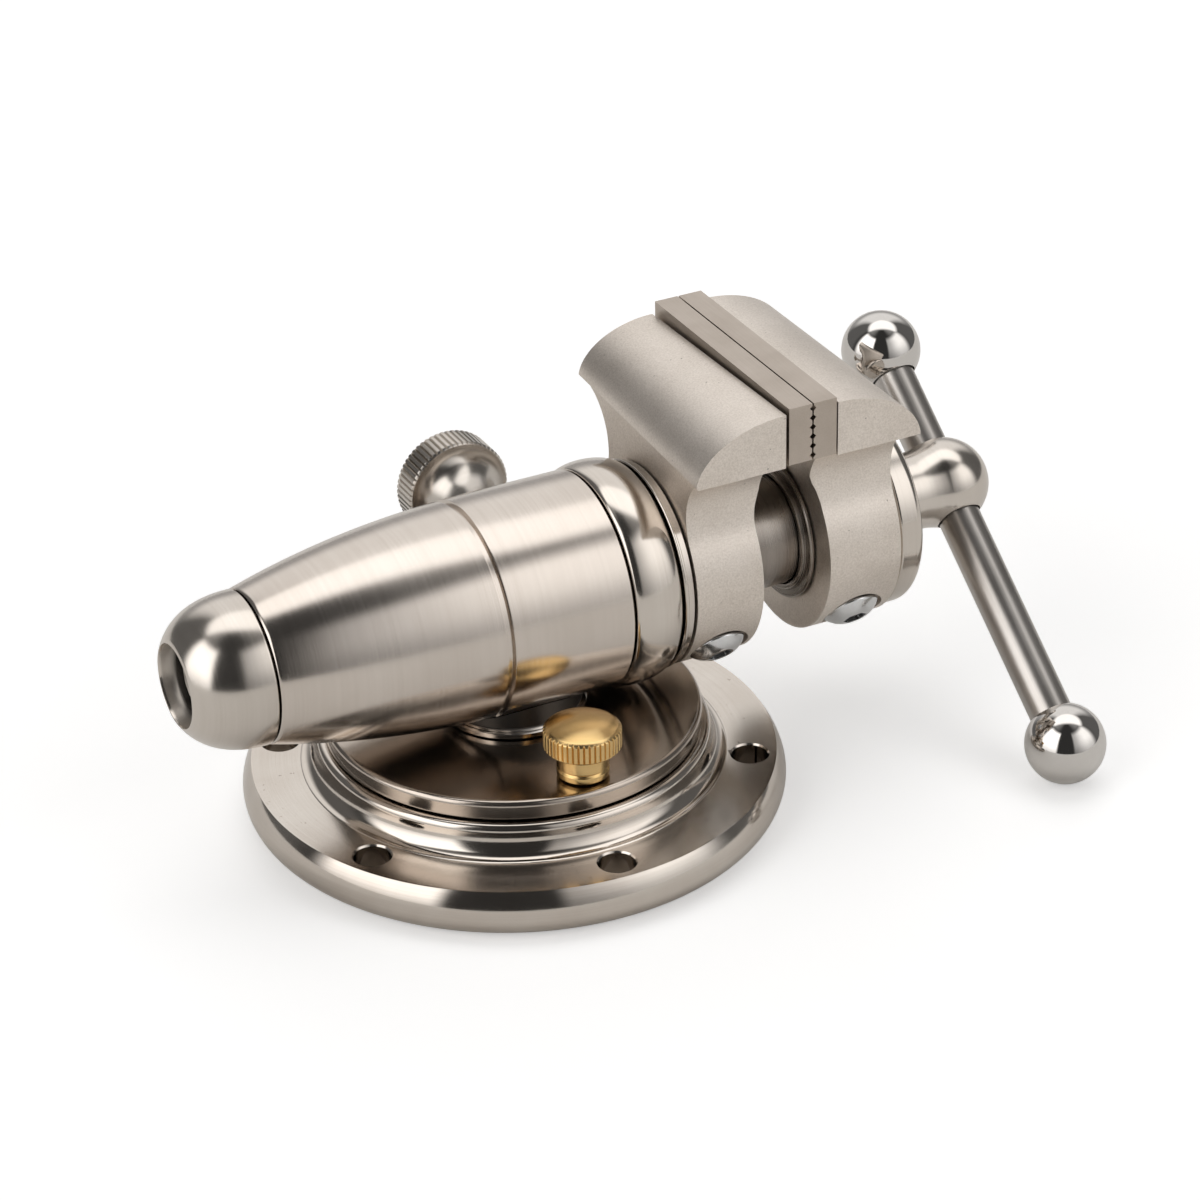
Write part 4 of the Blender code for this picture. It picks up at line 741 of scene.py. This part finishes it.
def make_jaws():
    """Both jaws, blasted, with their ground plates and zinc screws."""
    rear = make_jaw("rear_jaw_casting", 42.4, (17.9, 0.86, 0.87), 41.2, 27.9, 8.0, 1, (15.3, 39.0))
    make_ring_screw(rear, "rear_ring_screw", 34.55, "head", 15.6)
    soften(rear, 0.3 * mm)
    dress(rear, "jaw", "blasted_nickel", "head", "rear_jaw")
    front = make_jaw("front_jaw_casting", 52.8, (17.0, 1.0, 0.93), 55.2, 69.7, 4.2, -1, (10.6, 64.5))
    make_ring_screw(front, "front_ring_screw", 62.45, "front_slide", 11.2)
    soften(front, 0.3 * mm)
    dress(front, "jaw", "blasted_nickel", "front_slide", "front_jaw")
    make_plate("rear_jaw_plate", 47.6, 1, "head")
    make_plate("front_jaw_plate", 47.9, -1, "front_slide")


def make_plate(node, face_x, facing, body):
    """A hard plate with level V grooves, and two countersunk screws."""
    back_x = face_x - facing * 4.6
    pitch = 11.0 / 6
    outline = [(back_x, 27.0), (face_x, 27.0)]
    for index in range(6):
        middle = 27.0 + pitch * (index + 0.5)
        outline += [(face_x, middle - 0.5), (face_x - facing * 0.5, middle), (face_x, middle + 0.5)]
    outline += [(face_x, 38.0), (back_x, 38.0)]
    start = barrel_centre - Y_AXIS * 24.9 * mm
    points = [start + X_AXIS * along * mm + Z_AXIS * rise * mm for along, rise in outline]
    plate = extruded(node + "_finish", points, Y_AXIS * 49.8 * mm)
    for name, side in (("near", -1), ("far", 1)):
        centre = barrel_centre + Vector((face_x, side * 15.0, 32.3)) * mm
        hole = [(-facing * 6.6, 0), (-facing * 6.6, 2.3), (-facing * 2.9, 2.3), (-facing, 4.2), (facing * 2, 4.2), (facing * 2, 0)]
        carve(plate, turned("screw_hole", hole, X_AXIS, centre, small_steps))
        outline = [(-facing * 11, 0), (-facing * 11, 2.0), (-facing * 2.9, 2.0), (-facing, 3.9), (-facing, 1.0)]
        outline += [(-facing * 2, 1.0), (-facing * 2, 0)]
        screw = turned(f"{node}_screw_{name}_finish", outline, X_AXIS, centre, small_steps)
        soften(screw, 0.1 * mm)
        dress(screw, "zinc", "bright_zinc", body, f"{node}_screw_{name}")
    soften(plate, 0.12 * mm)
    dress(plate, "plate", "ground_steel", body, node)


def make_slide():
    """The brushed tube between the jaws and its stepped collar."""
    tube = turned(
        "slide_tube_finish",
        [(-9.6, 6.4), (-9.6, 9.9), (-9.2, 10.3), (64.1, 10.3), (64.5, 9.9), (64.5, 6.4)],
        X_AXIS,
        barrel_centre,
        wide_steps,
    )
    corners = [barrel_centre + Vector((-11.6, along, rise)) * mm for along, rise in ((-1.5, -12), (1.5, -12), (1.5, -9), (-1.5, -9))]
    carve(tube, extruded("keyway", corners, X_AXIS * 63 * mm))
    soften(tube, 0.1 * mm)
    dress(tube, "tube", "bright_steel", "front_slide", "slide_tube")
    outline = [(53.4, 10.6), (53.4, 11.3), (53.7, 11.6), (54.2, 11.6), (54.2, 13.1), (54.5, 13.4), (54.9, 13.4), (54.9, 10.6)]
    collar = turned("tube_collar_finish", outline, X_AXIS, barrel_centre, wide_steps)
    soften(collar, 0.06 * mm)
    dress(collar, "tube", "bright_steel", "front_slide", "tube_collar")


def make_front_cap():
    """The chamfered ring that closes the front jaw."""
    outline = [(70.0, 7.6), (70.0, 18.1), (70.5, 18.7), (73.4, 18.7)]
    outline += arc((73.4, 16.1), 2.2, 90, 20, 10, 2.6)[1:]
    outline += [(75.6, 15.7), (75.6, 7.6)]
    cap = turned("front_cap_finish", outline, X_AXIS, barrel_centre, wide_steps)
    soften(cap, 0.2 * mm)
    dress(cap, "bead", "polished_nickel", "front_slide", "front_cap")


def make_hub():
    """The ball of the spindle, with its neck and the hole for the bar."""
    outline = [(79.7, 0), (79.7, 3.7), (70.4, 3.7), (70.4, 6.9), (70.8, 7.3)]
    fillet_steps = 12
    for step in range(fillet_steps + 1):
        share = step / fillet_steps
        swell = share ** 2 * (3 - 2 * share) * 0.79
        lean = share ** 2 * (share - 1) * 1.54
        outline.append((82.8 + 4.8 * share, 7.3 + swell + lean))
    outline += arc((90.2, 0), 8.5, 107, 0, 44)[:-1]
    outline += [(98.7, 0)]
    hub = turned("hub_ball", outline, X_AXIS, barrel_centre, round_steps)
    centre = barrel_centre + X_AXIS * 90.2 * mm
    hole = [(-10, 0), (-10, 4.3), (10, 4.3), (10, 0)]
    carve(hub, turned("bar_hole", hole, bar_axis, centre, small_steps))
    soften(hub, 0.25 * mm)
    dress(hub, "hub", "polished_nickel", "spindle", "spindle_hub")


def make_handle():
    """The bar and its balls."""
    centre = barrel_centre + X_AXIS * 90.2 * mm
    bar_outline = [(-26.7, 0), (-26.7, 3.6), (-26.3, 4.0), (52.5, 4.0), (52.9, 3.6), (52.9, 0)]
    away = bar_axis
    bar = turned("bar_finish", bar_outline, away, centre, round_steps)
    soften(bar, 0.1 * mm)
    dress(bar, "bar", "polished_nickel", "handle", "handle_bar")
    for node, side in (("upper_handle_ball", -1), ("lower_handle_ball", 1)):
        middle = 13.1 + side * 42.3
        outline = arc((middle, 0), side * 7.5, 0, 180 - 35.0, 44, 7.5)[1:]
        outline = [(middle + side * 7.5, 0)] + outline
        outline += [(middle - side * 2.2, 4.3), (middle - side * 2.2, 0)]
        ball = turned(node + "_finish", outline, away, centre, round_steps)
        soften(ball, 0.15 * mm)
        dress(ball, "ball", "polished_nickel", "handle", node)


def make_head_lock():
    """The knurled steel knob behind the barrel."""
    outline = [(17.6, 0), (17.6, 2.5), (20.3, 2.5), (20.3, 4.4), (29.0, 4.4)]
    outline += arc((32.4, 9.3), 8.0, 270, 360, 20, 4.9)
    outline += [(40.4, 9.7), (40.8, 10.1), (46.3, 10.1), (46.9, 9.3), (46.9, 7.2), (46.5, 6.8), (46.5, 0)]
    knob = turned("head_lock_head", outline, Y_AXIS, head_lock_centre, 180)
    knurl(knob, Y_AXIS, head_lock_centre, 40.0, 47.3, 10.1, 58, 0.5)
    soften(knob, 0.08 * mm)
    dress(knob, "knob", "polished_nickel", "head_lock", "head_lock_knob")


make_base()
make_turntable()
make_saddle()
make_swivel_lock()
make_barrel()
make_nose()
make_bead()
make_jaws()
make_slide()
make_front_cap()
make_hub()
make_handle()
make_head_lock()

for node in ("pivot_bolt", "head_sleeve", "sleeve_lock_ring", "nut_retaining_ring", "slide_key", "lead_screw", "hub_pin"):
    repaint(node, "steel")
for node in ("swivel_thrust_ring", "head_bush", "lead_nut", "inner_thrust_washer", "outer_thrust_washer", "swivel_lock_pad", "head_lock_pad"):
    repaint(node, "bronze")
for node in ("swivel_washer", "swivel_nut", "rear_saddle_screw", "front_saddle_screw"):
    repaint(node, "zinc")


# Studio


def make_floor():
    """A plain pale floor, white to the camera outside the shadow."""
    bpy.ops.mesh.primitive_plane_add(size=6.0, location=(0, 0, -0.05 * mm))
    floor = bpy.context.object
    floor.name = "studio_floor"
    finish = Finish("studio_floor", roughness=0.9)
    finish.shader.inputs["Specular IOR Level"].default_value = 0.1
    finish.shader.inputs["Base Color"].default_value = (0.88, 0.87, 0.85, 1.0)
    seen = finish.node("BsdfPrincipled", None, Base_Color=(0.82, 0.82, 0.82, 1.0), Roughness=0.9)
    seen.inputs["Specular IOR Level"].default_value = 0.1
    seen.inputs["Emission Color"].default_value = (1.0, 1.0, 1.0, 1.0)
    seen.inputs["Emission Strength"].default_value = floor_lift
    camera_ray = finish.wire(finish.node("LightPath"), "Is Camera Ray")
    mixed = finish.node("MixShader", None, Fac=camera_ray)
    finish.tree.links.new(finish.shader.outputs[0], mixed.inputs[1])
    finish.tree.links.new(seen.outputs[0], mixed.inputs[2])
    finish.tree.links.new(mixed.outputs[0], finish.output.inputs["Surface"])
    floor.data.materials.append(finish.material)


def make_world():
    """The studio: two tall soft boxes on the near side, one overhead at the back, dark walls."""
    world = bpy.data.worlds.new("studio_world")
    world.use_nodes = True
    bpy.context.scene.world = world
    room = Nodes(world.node_tree)
    x, y, z = room.split(room.wire(room.node("TexCoord"), "Generated"))
    turn = math.radians(camera_turn)
    degree = math.pi / 180
    sideways = x * math.cos(turn) - y * math.sin(turn)
    nearer = x * -math.sin(turn) - y * math.cos(turn)
    bearing = room.maths("ARCTAN2", sideways, nearer) / degree
    either = room.bent("ABSOLUTE", bearing)
    height = room.bent("ARCSINE", z) / degree

    left_box = room.step(bearing, -90, -76) * (1 - room.step(bearing, -34, -26))
    left_box = left_box * (room.step(height, -6, 22) * 0.5 + 0.5) * (1 - room.step(height, 50, 60))
    right_box = room.step(bearing, 16, 24) * (1 - room.step(bearing, 78, 98))
    right_box = right_box * (room.step(bearing, 20, 66) * 0.65 + 0.35)
    right_box = right_box * (room.step(height, -6, 34) * 0.55 + 0.45) * (1 - room.step(height, 48, 62))
    top_box = (1 - room.step(nearer, -0.06, 0.12)) * room.step(height + sideways * 6, 50, 62)
    back = room.step(either, 128, 156) * (room.step(height, 8, 28) * 0.6 + 0.45)
    walls = room.step(either, 84, 104) * 0.1 + room.step(either, 25, 85) * room.step(height, 52, 66) * 0.3 + 0.04
    level = left_box * left_strength + right_box * right_strength + walls
    level = room.maths("MAXIMUM", level, top_box * top_strength)
    level = room.maths("MAXIMUM", level, back)
    tinted = room.node("Background", None, Color=room.tint(level, (1.0, 0.99, 0.98)), Strength=1.0)
    plain = room.node("Background", None, Color=(1.0, 1.0, 1.0, 1.0), Strength=1.0)
    camera_ray = room.wire(room.node("LightPath"), "Is Camera Ray")
    mixed = room.node("MixShader", None, Fac=camera_ray)
    room.tree.links.new(tinted.outputs[0], mixed.inputs[1])
    room.tree.links.new(plain.outputs[0], mixed.inputs[2])
    room.tree.links.new(mixed.outputs[0], room.tree.nodes["World Output"].inputs["Surface"])


floor_lift = 0.4
left_strength = 2.0
right_strength = 1.5
top_strength = 1.7
make_floor()
make_world()

bpy.context.scene.view_settings.view_transform = "Standard"
